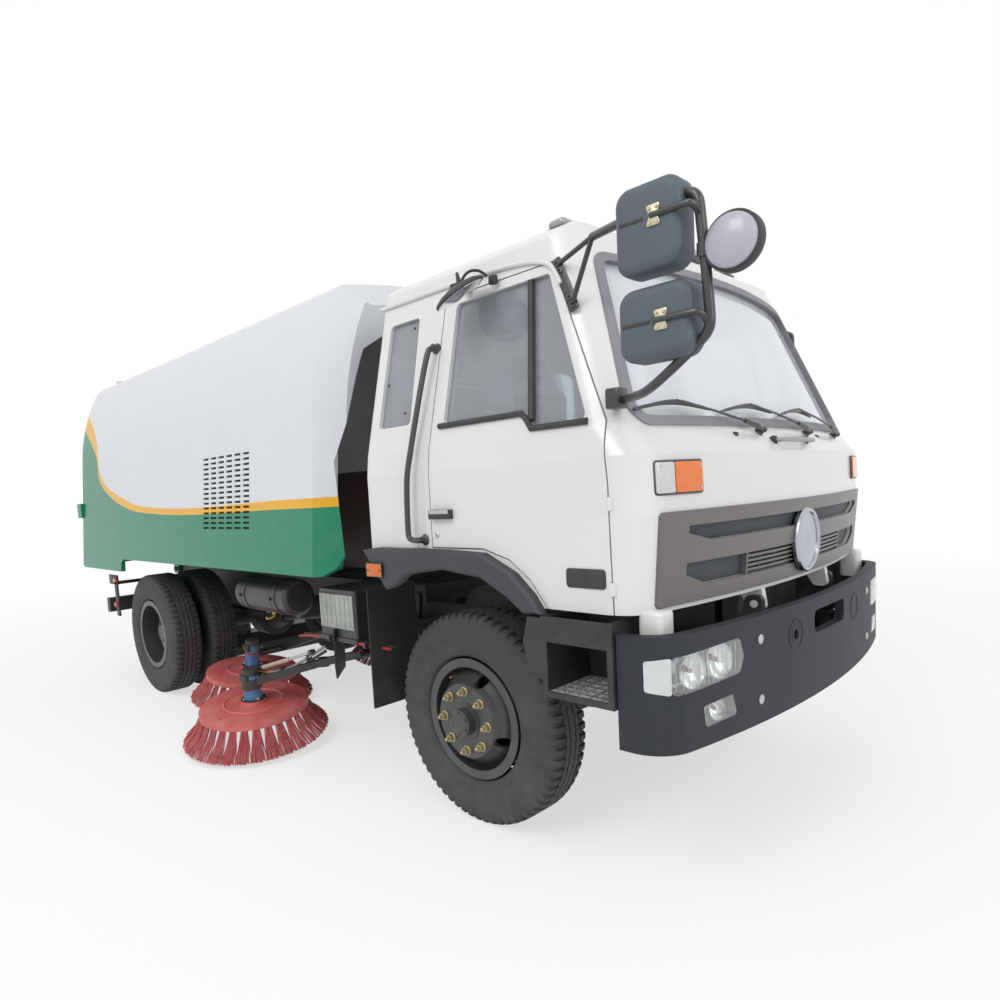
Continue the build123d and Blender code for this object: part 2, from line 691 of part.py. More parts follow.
def steering_wheel():
    """Rim with three spokes, a hub and the column down to the dash."""
    ring = Torus(wheel_ring_radius, 14)
    hub = Cylinder(48, 34)
    shape = ring + hub
    for i in range(3):
        spoke = Rot(0, 0, 120 * i + 180) * Pos(wheel_ring_radius / 2, 0, 0) * Box(
            wheel_ring_radius, 26, 12)
        shape += spoke
    column = Pos(0, 0, -170) * Cylinder(28, 320)
    place = Pos(wheel_centre) * Rot(0, -wheel_tilt, 0)
    return place * (shape + column)


save("steering_wheel", steering_wheel() - dash)

# ---- wipers, mirrors and grab handles ------------------------------------------------------------------------------
wiper_pivots = (-450, 0, 450)
mirror_pipe = 16


def screen_point(y, z, proud):
    """A point that stands proud of the windscreen's outside."""
    x = belt_front_x + screen_lean * (z - belt_z) - cab_crown * (y / cab_half) ** 2
    return (x + proud, y, z)


def wiper(y):
    """Arm from its pivot to a blade that lies near the foot of the screen."""
    pivot = rod(screen_point(y, 1775, 40), screen_point(y, 1775, -20), 16)
    arm = rod(screen_point(y, 1775, 32), screen_point(y + 210, 1900, 32), 7)
    blade = rod(screen_point(y - 60, 1862, 20), screen_point(y + 210, 1900, 20), 8)
    blade += rod(screen_point(y + 210, 1900, 20), screen_point(y + 470, 1925, 20), 8)
    return pivot + arm + blade


wipers = [wiper(y) - outer_form for y in wiper_pivots]
save("wipers", *wipers)

mirror_y = -1350
mirror_mount_y = -1128


def mirror_arms():
    """Pipe frame that carries the mirrors ahead of the right door."""
    main = rod((1346, mirror_y, 2384), (1368, mirror_y, 2040), mirror_pipe)
    top = bent_tube(((1346, mirror_y, 2380), (1250, mirror_y + 20, 2420), (900, -1090, 2340),
                     (720, -1020, 2330)), mirror_pipe, 40)
    low = bent_tube(((1368, mirror_y, 2044), (1250, mirror_y + 30, 1950), (1090, -1240, 1895),
                     (915, -1120, 1890)), mirror_pipe, 50)
    front = rod((1356, mirror_y, 2240), (1420, mirror_y, 2240), 11)
    back = rod((1240, mirror_y, 2372), (1352, mirror_y, 2372), 11)
    back += rod((1240, mirror_y, 2072), (1366, mirror_y, 2072), 11)
    brackets = block(690, 770, -1100, -1000, 2290, 2370) + block(886, 952, -1182, -1100, 1858, 1935)
    return main + top + low + front + back + brackets


def mirror_heads():
    """Main mirror, wide-angle mirror and round front mirror of the right side."""
    depth = (mirror_y - 105, mirror_y - 30)
    heads = []
    for x0, x1, z0, z1 in ((1085, 1304, 2220, 2480), (1087, 1331, 1963, 2182)):
        shell = block(x0, x1, mirror_y - 45, mirror_y + 45, z0, z1)
        shell = fillet(shell.edges().filter_by(Axis.Y), 30)
        heads.append(shell)
    disc = rod((1440, mirror_y - 35, 2245), (1440, mirror_y + 25, 2245), 80)
    heads.append(fillet(disc.edges().filter_by(GeomType.CIRCLE), 14))
    return heads


arms = mirror_arms() - outer_form
heads = mirror_heads()
arms = arms.solids().sort_by(SortBy.VOLUME)[-1]
heads = [head - arms for head in heads]
save("mirror_arms", arms)
save("mirror_heads", *heads)

driver_mirror_x = 655
driver_mirror_y = 1215
driver_mirror_z = (1860, 2395)


def driver_mirror_arm():
    """Short pipe loop on the left door's front post, close to the driver."""
    x, y = driver_mirror_x, driver_mirror_y
    low_z, high_z = driver_mirror_z
    loop = bent_tube(((572, 1010, high_z + 28), (590, y - 55, high_z + 62), (x, y, high_z + 40),
                      (x + 12, y, low_z + 70), (x + 60, y - 10, low_z), (760, 1140, low_z - 68)),
                     mirror_pipe - 4, 28)
    plates = block(556, 588, 985, 1052, high_z - 5, high_z + 60)
    plates += block(725, 790, 1120, 1205, low_z - 100, low_z - 38)
    return loop + plates


driver_head = block(driver_mirror_x - 78, driver_mirror_x - 20, driver_mirror_y - 20,
                    driver_mirror_y + 165, 2010, 2340)
driver_head = fillet(driver_head.edges().filter_by(Axis.X), 40)
driver_head += rod((driver_mirror_x + 6, driver_mirror_y, 2175),
                   (driver_mirror_x - 40, driver_mirror_y + 20, 2175), 14)
driver_arm = (driver_mirror_arm() - outer_form).solids().sort_by(SortBy.VOLUME)[-1]
save("mirror_arm_left", driver_arm)
save("mirror_head_left", driver_head - driver_arm)

rail_radius = 14
side_rail = bent_tube(((-85, -1040, 2260), (-85, -1110, 2260), (-147, -1240, 1710),
                       (-169, -1240, 1410), (-105, -1240, 1385), (-105, -1180, 1385)),
                      rail_radius, 22) - outer_form
side_rail = side_rail.solids().sort_by(SortBy.VOLUME)[-1]
front_rail = bent_tube(((1060, -517, 1735), (1180, -517, 1735), (1200, -112, 1735),
                        (1080, -112, 1735)), 11, 24) - outer_form
front_rail = front_rail.solids().sort_by(SortBy.VOLUME)[-1]
save("grab_handles", side_rail, other_side(side_rail), front_rail, other_side(front_rail))

# ---- front knuckles --------------------------------------------------------------------------------
front_wheel_y = front_track / 2
boss_z = (475, 553)
ear_gap = 1.5
ear_thickness = 30
plate_outer_y = front_wheel_y - 44


def knuckle():
    """Right steering knuckle: yoke, kingpin and wheel spindle."""
    top = block(-48, 48, -plate_outer_y, -kingpin_y + 46, boss_z[1] + ear_gap,
                boss_z[1] + ear_gap + ear_thickness)
    low = block(-48, 48, -plate_outer_y, -kingpin_y + 46, boss_z[0] - ear_gap - ear_thickness,
                boss_z[0] - ear_gap)
    yoke = fillet((top + low).edges().filter_by(Axis.Z).group_by(Axis.Y)[-1], 40)
    plate = block(-58, 58, -plate_outer_y, -kingpin_y - 56, boss_z[0] - 32, boss_z[1] + 32)
    pin = rod((0, -kingpin_y, boss_z[0] - 30), (0, -kingpin_y, boss_z[1] + 30), kingpin_radius)
    spindle = rod((0, -kingpin_y - 60, axle_z), (0, -front_wheel_y - 70, axle_z), spindle_radius)
    arm = block(-190, -40, -kingpin_y - 20, -kingpin_y + 20, 445, 470)
    return yoke + plate + pin + spindle + arm


# ---- wheels --------------------------------------------------------------------------------------------
rim_base = 262                   # where the tyre's bead sits
rim_half_width = 98
flange_thickness = 11
barrel_thickness = 12
tyre_half = tyre_width / 2


def ring_face(points, side, shift=0):
    """Half section of a wheel part from (radius, offset towards the outside) points."""
    return polygon(*[(r, side * (o + shift)) for r, o in points])


def barrel_face(side, shift=0):
    """Half section of a rim barrel with a flange at each side."""
    inner = rim_base - barrel_thickness
    edge = rim_half_width + flange_thickness
    return ring_face(((inner, -edge), (rim_radius, -edge), (rim_radius, -rim_half_width),
                      (rim_base, -rim_half_width), (rim_base, rim_half_width),
                      (rim_radius, rim_half_width), (rim_radius, edge), (inner, edge)),
                     side, shift)


def tyre(x, y):
    """Tyre with bulged walls and a flat tread, seated between the rim's flanges."""
    right = (
        Line((rim_base, -rim_half_width), (rim_radius + 2, -rim_half_width))
        + ThreePointArc((rim_radius + 2, -rim_half_width), (rim_radius + 90, -tyre_half),
                        (tyre_radius - 42, -tyre_half + 10))
        + Polyline((tyre_radius - 42, -tyre_half + 10), (tyre_radius - 6, -tyre_half + 26),
                   (tyre_radius, -tyre_half + 46), (tyre_radius, tyre_half - 46),
                   (tyre_radius - 6, tyre_half - 26), (tyre_radius - 42, tyre_half - 10))
        + ThreePointArc((tyre_radius - 42, tyre_half - 10), (rim_radius + 90, tyre_half),
                        (rim_radius + 2, rim_half_width))
        + Polyline((rim_radius + 2, rim_half_width), (rim_base, rim_half_width),
                   (rim_base, -rim_half_width)))
    return Pos(x, y, axle_z) * revolve(make_face(right), Axis.Y)


nut_face = 150                   # offset of the front wheel's bolted face
nut_height = 22
hand_hole_count = 4
hand_hole_first = 68             # degrees from the front, the same seen from either side
hand_hole_circle = 206
hand_hole_radius = 27


def wheel_nuts(x, y, side, face_y):
    """Ring of nuts on the bolted face."""
    ring = None
    for i in range(stud_count):
        angle = math.radians(360 / stud_count * i)
        dx = stud_circle * math.cos(angle)
        dz = stud_circle * math.sin(angle)
        start = (x + dx, y + side * (face_y - 8), axle_z + dz)
        end = (x + dx, y + side * (face_y + nut_height), axle_z + dz)
        nut = Plane(origin=start, z_dir=(0, side, 0)) * extrude(
            RegularPolygon(16, 6), nut_height + 8)
        ring = nut if ring is None else ring + nut
    return ring


def hand_holes(x, y, side, offsets):
    """Holes through the sloping part of the disc."""
    ring = None
    for i in range(hand_hole_count):
        angle = math.radians(360 / hand_hole_count * i + hand_hole_first)
        dx = hand_hole_circle * math.cos(angle)
        dz = hand_hole_circle * math.sin(angle)
        hole = rod((x + dx, y + side * offsets[0], axle_z + dz),
                   (x + dx, y + side * offsets[1], axle_z + dz), hand_hole_radius)
        ring = hole if ring is None else ring + hole
    return ring


def front_wheel(side):
    """Rim, disc, hub and brake drum of a front wheel."""
    y = side * front_wheel_y
    bore = spindle_radius + pin_clearance
    disc = ring_face(((252, 34), (252, 52), (236, 62), (196, 118), (178, nut_face),
                      (88, nut_face), (88, nut_face - 12), (170, nut_face - 12), (186, 108),
                      (228, 48), (236, 34)), side)
    hub = ring_face(((bore, -36), (96, -36), (96, 30), (90, nut_face + 4), (66, nut_face + 4),
                     (64, nut_face + 42), (44, nut_face + 52), (0, nut_face + 52),
                     (0, 76), (bore, 76)), side)
    drum = ring_face(((94, -38), (205, -38), (205, 20), (94, 30)), side)
    section = barrel_face(side) + disc + hub + drum
    wheel = Pos(0, y, axle_z) * revolve(section, Axis.Y)
    return wheel + wheel_nuts(0, y, side, nut_face) - hand_holes(0, y, side, (36, 140))


def rear_wheels(side):
    """Both rims of a rear pair with their discs, hub and drum."""
    inner_y = side * (rear_outer_y - dual_spacing)
    mid = dual_spacing / 2       # bolted faces meet midway between the wheels
    bore = spindle_radius + pin_clearance
    section = barrel_face(side) + barrel_face(side, dual_spacing)
    section += ring_face(((252, 34), (252, 54), (232, 64), (196, 112), (178, mid), (88, mid),
                          (88, mid - 12), (172, mid - 12), (186, 102), (224, 50), (236, 34)), side)
    section += ring_face(((252, -34), (252, -54), (232, -64), (196, -112), (178, -mid), (88, -mid),
                          (88, 12 - mid), (172, 12 - mid), (186, -102), (224, -50), (236, -34)),
                         side, dual_spacing)
    section += ring_face(((bore, -75), (110, -75), (110, mid), (96, mid + 30), (96, mid + 150),
                          (70, mid + 196), (0, mid + 196), (0, mid + 122), (bore, mid + 122)),
                         side)
    section += ring_face(((108, -78), (210, -78), (210, 20), (108, 30)), side)
    pair = Pos(-wheelbase, inner_y, axle_z) * revolve(section, Axis.Y)
    return pair + wheel_nuts(-wheelbase, side * rear_outer_y, side, 12 - mid)


for side, hand in ((-1, "right"), (1, "left")):
    save("front_rim_" + hand, front_wheel(side))
    save("front_tyre_" + hand, tyre(0, side * front_wheel_y))
    save("rear_rims_" + hand, rear_wheels(side))
    save("rear_tyres_" + hand, tyre(-wheelbase, side * rear_outer_y),
         tyre(-wheelbase, side * (rear_outer_y - dual_spacing)))
save("knuckle_right", knuckle())
save("knuckle_left", other_side(knuckle()))

# ---- sweeper body -----------------------------------------------------------------------------------------
side_lean_x = (1233 - 1150) / (2100 - skirt_z)
shoulder_z = 2100
sill_y = (360, 430)
sill_clearance = 1
hinge_radius = 20


def body_face(inset, low_z):
    """Cross-section of the body: leaning sides, round shoulders, crowned roof."""
    i = inset
    foot = 1233 + side_lean_x * (skirt_z - low_z) - i
    half = (Polyline((0, low_z), (-foot, low_z), (-1150 + i, shoulder_z))
            + ThreePointArc((-1150 + i, shoulder_z), (-1086 + i, 2440 - i / 4),
                            (-948 + i * 0.8, 2768 - i * 0.6))
            + ThreePointArc((-948 + i * 0.8, 2768 - i * 0.6), (-908 + i * 0.7, 2802 - i * 0.8),
                            (-848 + i * 0.4, 2818 - i)))
    other = mirror(half, about=Plane.YZ)
    crown = ThreePointArc((-848 + i * 0.4, 2818 - i), (0, 2890 - i), (848 - i * 0.4, 2818 - i))
    return make_face(half + crown + other)


arch_opening = ((-1090, 1000), (-1090, 1800), (-935, 2270), (-870, 2430), (-720, 2520),
                (720, 2520), (870, 2430), (935, 2270), (1090, 1800), (1090, 1000))
tip_ear_y = (frame_half + 6, frame_half + 34)
tip_pin_radius = 22
gate_hinge = (body_rear_x, 2885)
gate_barrel_y = ((560, 620), (700, 760))
gate_barrel_radius = 16
clevis_x = -4200
clevis_z = 1040
clevis_y = (30, 45)

hull = along_x(body_face(0, valance_z), body_rear_x, body_front_x)
hull -= along_y(polygon((valance_x, 1000), (valance_x + 20, skirt_z - 30),
                        (valance_x + 60, skirt_z), (-900, skirt_z), (-900, 1000)), -1300, 1300)
hull -= along_x(body_face(body_wall, skirt_z + body_wall), body_rear_x, bulkhead_x)
hull -= along_x(body_face(body_wall, 1000), bulkhead_x + body_wall, body_front_x)
hull -= block(body_rear_x, bulkhead_x, -1233 + body_wall, 1233 - body_wall, 1000, skirt_z)
cover = loft([Plane.YZ.offset(body_front_x) * body_face(0, skirt_z),
              Plane.YZ.offset(cover_front_x) * body_face(138, skirt_z)], ruled=True)
cover -= loft([Plane.YZ.offset(body_front_x) * body_face(body_wall, 1000),
               Plane.YZ.offset(cover_front_x - body_wall) * body_face(160, 1000)], ruled=True)
cover -= along_x(softened(arch_opening, 0, 40), cover_front_x - 60, cover_front_x + 10)
cover_heel = along_y(polygon((body_front_x + 20, 1100), (body_front_x + 45, skirt_z + 8),
                             (body_front_x + 90, skirt_z + 36), (cover_front_x - 10, skirt_z + 100),
                             (cover_front_x + 20, skirt_z + 110), (cover_front_x + 20, 1100)),
                     -1300, 1300)
hull += cover - cover_heel
sill = block(body_rear_x + 20, bulkhead_x, *sill_y, subframe_top_z + sill_clearance, skirt_z)
tip_ear = along_y(rounded(24, (tip_pivot_x - 45, tip_pivot_z - 45), (tip_pivot_x - 60, skirt_z + 10),
                          (tip_pivot_x + 120, skirt_z + 10), (tip_pivot_x + 45, tip_pivot_z - 45)),
                  *tip_ear_y)
tip_ear += block(tip_pivot_x - 50, tip_pivot_x + 100, sill_y[1] - 5, tip_ear_y[0] + 5,
                 skirt_z - 40, skirt_z)
tip_ear -= rod((tip_pivot_x, 0, tip_pivot_z), (tip_pivot_x, 600, tip_pivot_z),
               tip_pin_radius + pin_clearance)
clevis = along_y(rounded(24, (clevis_x - 50, clevis_z - 50), (clevis_x - 90, skirt_z),
                         (clevis_x + 90, skirt_z), (clevis_x + 50, clevis_z - 50)), *clevis_y)
hull += sill + tip_ear + clevis
hull += other_side(sill + tip_ear + clevis)


def hinge_barrel(y0, y1, lug_x0, lug_x1, lug_low_z):
    """Barrel on the tailgate's axis with the lug that carries it."""
    x, z = gate_hinge
    barrel = rod((x, y0, z), (x, y1, z), gate_barrel_radius)
    lug = block(min(lug_x0, lug_x1), max(lug_x0, lug_x1), y0, y1, lug_low_z, z + 10)
    return barrel + lug


for y0, y1 in gate_barrel_y:
    body_barrel = hinge_barrel(y0, y1, gate_hinge[0] + 2, gate_hinge[0] + 70, 2800)
    body_barrel -= along_x(body_face(body_wall - 5, 1500), body_rear_x - 40, body_rear_x + 80)
    hull += body_barrel + other_side(body_barrel)
louvre_columns = [-2408 + 118 * i for i in range(6)]
louvre_rows = [1440 + 34 * i for i in range(15)]
louvre_size = (88, 15)
louvres = [Pos(x, -1190, z) * Box(louvre_size[0], 170, louvre_size[1])
           for x in louvre_columns for z in louvre_rows]
hull = hull - louvres
gate_pin_cut = rod((gate_hinge[0], -800, gate_hinge[1]), (gate_hinge[0], 800, gate_hinge[1]), 8.4)
hull -= gate_pin_cut
save("hopper_body", hull)

# ---- tailgate ----------------------------------------------------------------------------------------------
gate_inset = 10
gate_front_x = body_rear_x - gate_gap
gate_thickness = 88
gate_rear_x = gate_front_x - gate_thickness
gate_bevel = 18
gate = along_x(body_face(gate_inset, valance_z + 10), gate_rear_x + gate_bevel, gate_front_x)
gate += loft([Plane.YZ.offset(gate_rear_x + gate_bevel) * body_face(gate_inset, valance_z + 10),
              Plane.YZ.offset(gate_rear_x) * body_face(gate_inset + gate_bevel, valance_z + 28)],
             ruled=True)
gate -= along_x(body_face(120, valance_z + 110), gate_rear_x, gate_rear_x + 22)
for y in (-620, 0, 620):
    gate += block(gate_rear_x, gate_rear_x + 30, y - 35, y + 35, valance_z + 60, 2700)
for z in (1500, 2050):
    gate += block(gate_rear_x, gate_rear_x + 30, -1040, 1040, z - 30, z + 30)
gate_barrel = hinge_barrel(620.5, 699.5, gate_hinge[0] - 80, gate_hinge[0] - 14, 2780)
gate += gate_barrel + other_side(gate_barrel)
gate -= rod((gate_hinge[0], 200, gate_hinge[1]), (gate_hinge[0], 900, gate_hinge[1]), 8.4)
gate -= rod((gate_hinge[0], -900, gate_hinge[1]), (gate_hinge[0], -200, gate_hinge[1]), 8.4)
gate_pin = rod((gate_hinge[0], 555, gate_hinge[1]), (gate_hinge[0], 765, gate_hinge[1]), 8)
latch = block(tail_end_x, gate_front_x - 20, -1215, -1130, 1540, 1680)
latch = fillet(latch.edges().filter_by(Axis.Y), 12)
gate += latch + other_side(latch)
save("tailgate", gate, gate_pin, other_side(gate_pin))

# ---- subframe with its brush brackets -------------------------------------------------------------------------
subframe_front_x = -1000
beam_end_radius = (subframe_top_z - frame_top_z) / 2
beam_y = (frame_half - rail_flange, frame_half)
beam_face_xz = (block(tip_pivot_x, subframe_front_x, *beam_y, frame_top_z, subframe_top_z)
                + rod((tip_pivot_x, beam_y[0], tip_pivot_z), (tip_pivot_x, beam_y[1], tip_pivot_z),
                      beam_end_radius))
arm_pin_radius = 15
subframe = beam_face_xz + other_side(beam_face_xz)
for tie_x in (-1060, -2440, -4340):
    subframe += block(tie_x - 40, tie_x + 40, -beam_y[0], beam_y[0], frame_top_z + 20, 990)
subframe += rod((tip_pivot_x, -tip_ear_y[1] - 16, tip_pivot_z),
                (tip_pivot_x, tip_ear_y[1] + 16, tip_pivot_z), tip_pin_radius)


def pivot_bracket(x, pin_reach):
    """Plate bolted to the rail with the pin of a brush arm."""
    face = rounded(18, (x - 70, frame_top_z + 60), (x - 34, lift_pivot_z - 34),
                   (x + 34, lift_pivot_z - 34), (x + 70, frame_top_z + 60))
    plate = along_y(face, -bracket_face_y, -frame_half)
    stub = rod((x, -bracket_face_y, lift_pivot_z), (x, -pin_reach - 12, lift_pivot_z),
               arm_pin_radius)
    return plate + stub


# ---- auxiliary engine ---------------------------------------------------------------------------------------------
aux_x = (-2330, -1180)
aux_half = 340
aux = block(*aux_x, -aux_half, aux_half, subframe_top_z + 60, 1780)
aux = chamfer(aux.edges().filter_by(Axis.X), 60)
aux += rod((aux_x[1], 0, 1480), (aux_x[1] + 60, 0, 1480), 280)
aux += rod((-1500, -180, 1700), (-1500, 180, 1700), 150)
for foot_x in (aux_x[0] + 60, aux_x[1] - 160):
    for foot_y in (-beam_y[1] + 5, beam_y[0]):
        aux += block(foot_x, foot_x + 100, foot_y, foot_y + 65, subframe_top_z, subframe_top_z + 30)
    aux += block(foot_x, foot_x + 100, -beam_y[1] + 5, beam_y[1] - 5, subframe_top_z + 30,
                 subframe_top_z + 75)
save("aux_engine", aux)

# ---- tip cylinder ----------------------------------------------------------------------------------------------------
cylinder_base = Vector(-2540, 0, 850)
cylinder_eye = Vector(clevis_x, 0, clevis_z)
barrel_radius = 58
rod_radius = 32
eye_half = 25
base_pin_radius = 20
cylinder_line = (cylinder_eye - cylinder_base).normalized()
cylinder_length = (cylinder_eye - cylinder_base).length
barrel_end = cylinder_length - 330


def at(distance):
    """Point on the cylinder's axis."""
    point = cylinder_base + cylinder_line * distance
    return (point.X, point.Y, point.Z)


def cross_rod(point, half, radius):
    """Round bar across the vehicle, centred on a point."""
    x, _, z = point
    return rod((x, -half, z), (x, half, z), radius)


cylinder = rod(at(62), at(barrel_end), barrel_radius)
cylinder += rod(at(0), at(90), eye_half) + cross_rod(at(0), eye_half, 40)
cylinder -= cross_rod(at(0), 80, base_pin_radius + pin_clearance)
cylinder -= rod(at(520), at(barrel_end + 10), rod_radius + pin_clearance)
ram = rod(at(560), at(cylinder_length - 190), rod_radius)
ram += rod(at(cylinder_length - 200), at(cylinder_length - 20), eye_half - 2)
ram += cross_rod(at(cylinder_length), eye_half, 38)
ram -= cross_rod(at(cylinder_length), 80, 21)
save("tip_cylinder", cylinder)
save("tip_rod", ram)
cheek = along_y(rounded(20, (cylinder_base.X - 44, 790), (cylinder_base.X - 44, 895),
                        (cylinder_base.X + 44, 895), (cylinder_base.X + 44, 790)),
                eye_half + 5, eye_half + 25)
frame_link = cross_rod(at(0), eye_half + 20, base_pin_radius)
base_stand = block(cylinder_base.X - 45, cylinder_base.X + 45, -80, 80, 799, 803)
subframe_stand = cheek + other_side(cheek) + frame_link + base_stand

# ---- brushes ----------------------------------------------------------------------------------------------------------
brush_shaft_radius = 14
hub_radius = 62
hub_top = 30
flange_gap = 0.5
flange_radius = 80
flange_thickness_z = 12
shaft_reach = 80
tuft_root_radius = 325
tuft_width = 46
tuft_depth = 20
tip_width = 84
tip_depth = 26
arm_section = (70, 46)


def brush_place(hub, side, lean):
    """Plane of a brush: origin at the disc's middle, z along its leaning axis."""
    x, y = hub
    sideways = -math.sin(math.radians(lean)) if side < 0 else math.sin(math.radians(lean))
    forward = math.tan(math.radians(brush_tilt)) * math.cos(math.radians(lean))
    sideways = math.tan(math.radians(brush_tilt)) * sideways
    axis = Vector(forward, sideways, 1).normalized()
    return Plane(origin=(x, side * y, disc_height), x_dir=(1, 0, -forward), z_dir=axis)


def brush(place):
    """Disc with its hub, shaft and a ring of bristle tufts that flare outwards."""
    drop = disc_height - tip_height
    disc = Pos(0, 0, -disc_thickness / 2) * extrude(Circle(disc_radius), disc_thickness)
    disc += extrude(Circle(hub_radius), hub_top)
    disc += extrude(Circle(brush_shaft_radius), shaft_reach)
    for i in range(tuft_count):
        turn = Rot(0, 0, 360 / tuft_count * i)
        root = Plane.XY.offset(2) * Pos(tuft_root_radius - 8, 0) * Rectangle(tuft_depth, tuft_width)
        tip = Plane.XY.offset(-drop) * Pos(tip_radius - tip_depth / 2, 0) * Rectangle(
            tip_depth, tip_width)
        disc += turn * loft([root, tip], ruled=True)
    return place * disc


def motor(place):
    """Hydraulic motor: flange over the hub, body and a port block."""
    low = hub_top + flange_gap
    body = Pos(0, 0, low) * extrude(Circle(flange_radius), flange_thickness_z)
    body += Pos(0, 0, low) * extrude(Circle(motor_radius), motor_height)
    body += Pos(0, 0, low + motor_height - 60) * Box(84, 120, 46)
    bore = extrude(Circle(brush_shaft_radius + pin_clearance), shaft_reach + 6)
    return place * (body - bore)


def beam_between(start, end, width, height):
    """Rectangular beam between two points, upright in its section."""
    a = Vector(*start)
    b = Vector(*end)
    along = (b - a).normalized()
    place = Plane(origin=a, x_dir=along.cross(Vector(0, 0, 1)).normalized(), z_dir=along)
    return place * extrude(Rectangle(width, height), (b - a).length)


def outer_arm():
    """Right side arm: pivot tube, bent beam, support plate and motor."""
    x, y = outer_pivot
    hub_x, hub_y = outer_hub
    place = brush_place(outer_hub, -1, 45)
    tube = rod((x, -y - 60, lift_pivot_z), (x, -y + 60, lift_pivot_z), arm_pin_radius + 16)
    mount = place.origin + place.z_dir * (motor_height * 0.55 + hub_top)
    knee = (x - 330, -y - 120, 560)
    beam = beam_between((x - 10, -y, lift_pivot_z), knee, *arm_section)
    beam += beam_between(knee, (mount.X, mount.Y, mount.Z), *arm_section)
    beam += Pos(*knee) * Cylinder(38, arm_section[1] + 6)
    ring = place * (Pos(0, 0, hub_top + motor_height * 0.4) * extrude(
        Circle(motor_radius + 14), motor_height * 0.3))
    arm = tube + beam + ring + motor(place)
    arm -= rod((x, -y - 90, lift_pivot_z), (x, -y + 90, lift_pivot_z),
               arm_pin_radius + pin_clearance)
    return arm - place * extrude(Circle(brush_shaft_radius + pin_clearance), shaft_reach + 6)


cross_beam_z = (372, 412)
inner_arm_y = 480


def inner_frame():
    """Frame of the inner pair: pivot tubes, two arms, cross beam and both motors."""
    hub_x, hub_y = inner_hub
    low, high = cross_beam_z
    frame = block(hub_x - 32, hub_x + 32, -hub_y, hub_y, low, high)
    for side in (-1, 1):
        y = side * inner_arm_y
        frame += rod((inner_pivot_x, y - 22, lift_pivot_z), (inner_pivot_x, y + 22, lift_pivot_z),
                     arm_pin_radius + 14)
        frame += beam_between((inner_pivot_x - 8, y, lift_pivot_z), (hub_x, y, (low + high) / 2),
                              40, 46)
        place = brush_place(inner_hub, side, 0)
        frame += motor(place)
        frame -= place * extrude(Circle(brush_shaft_radius + pin_clearance), shaft_reach + 6)
        frame -= rod((inner_pivot_x, y - 60, lift_pivot_z), (inner_pivot_x, y + 60, lift_pivot_z),
                     arm_pin_radius + pin_clearance)
    return frame


outer_brush = brush(brush_place(outer_hub, -1, 45))
inner_brush = brush(brush_place(inner_hub, -1, 0))
save("outer_brush_right", outer_brush)
save("outer_brush_left", other_side(outer_brush))
save("inner_brush_right", inner_brush)
save("inner_brush_left", other_side(inner_brush))
save("outer_arm_right", outer_arm())
save("outer_arm_left", other_side(outer_arm()))
save("inner_brush_frame", inner_frame())
brackets = pivot_bracket(outer_pivot[0], outer_pivot[1] + 60) + pivot_bracket(
    inner_pivot_x, inner_arm_y + 22)
subframe += brackets + other_side(brackets)
save("subframe", subframe)

# ---- suction nozzle, hose and rear underrun bar ---------------------------------------------------
nozzle_x = (-4750, -4380)
nozzle_half = 850
nozzle_z = (25, 230)
hose_x = -4542
hose_radius = 118
hose_wall = 12
hose_seat = 0.3
nozzle_face = polygon((nozzle_x[0], nozzle_z[0]), (nozzle_x[0], 120), (nozzle_x[0] + 85, nozzle_z[1]),
                      (nozzle_x[1] - 40, nozzle_z[1]), (nozzle_x[1], 110), (nozzle_x[1], nozzle_z[0]))
nozzle_inside = polygon((nozzle_x[0] + 12, 0), (nozzle_x[0] + 12, 116),
                        (nozzle_x[0] + 90, nozzle_z[1] - 12), (nozzle_x[1] - 45, nozzle_z[1] - 12),
                        (nozzle_x[1] - 12, 106), (nozzle_x[1] - 12, 0))
nozzle = along_y(nozzle_face, -nozzle_half, nozzle_half)
nozzle -= along_y(nozzle_inside, -nozzle_half + 12, nozzle_half - 12)
nozzle -= rod((hose_x, 0, nozzle_z[1] - 40), (hose_x, 0, nozzle_z[1] + 10), hose_radius - hose_wall)
hose = rod((hose_x, 0, nozzle_z[1] + hose_seat), (hose_x, 0, skirt_z - 6), hose_radius)
hose -= rod((hose_x, 0, nozzle_z[1]), (hose_x, 0, skirt_z), hose_radius - hose_wall)
for side in (-1, 1):
    y = side * rail_y
    nozzle += block(-4715, -4675, y - 15, y + 15, 140, frame_bottom_z)
save("suction_nozzle", nozzle)
save("suction_hose", hose)

underrun_x = (-5035, frame_rear_x - 5)
underrun = block(*underrun_x, -1120, 1120, 600, 740)
underrun = fillet(underrun.edges().filter_by(Axis.Y), 14)
for side in (-1, 1):
    y = side * (frame_half + 12)
    underrun += block(underrun_x[0] + 10, frame_rear_x + 120, y - 12, y + 12, 690, 860)
jaw_pin_radius = 16
jaw_x = -5088
jaw_z = ((622, 647), (693, 718))
for low_z, high_z in jaw_z:
    plate = along_z(fillet(Rectangle(110, 120).vertices(), 24), low_z, high_z)
    underrun += Pos(jaw_x + 5, 0, 0) * plate
underrun -= rod((jaw_x, 0, jaw_z[0][0] - 10), (jaw_x, 0, jaw_z[1][1] + 10), jaw_pin_radius)
save("rear_underrun", underrun)
frame += subframe_stand
save("frame_rails", frame)
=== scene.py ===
"""Street sweeper truck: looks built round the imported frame.

Metres, +X to the front, +Y to the left, +Z up.
"""
import math
import random

import bmesh
import bpy
from mathutils import Matrix, Vector


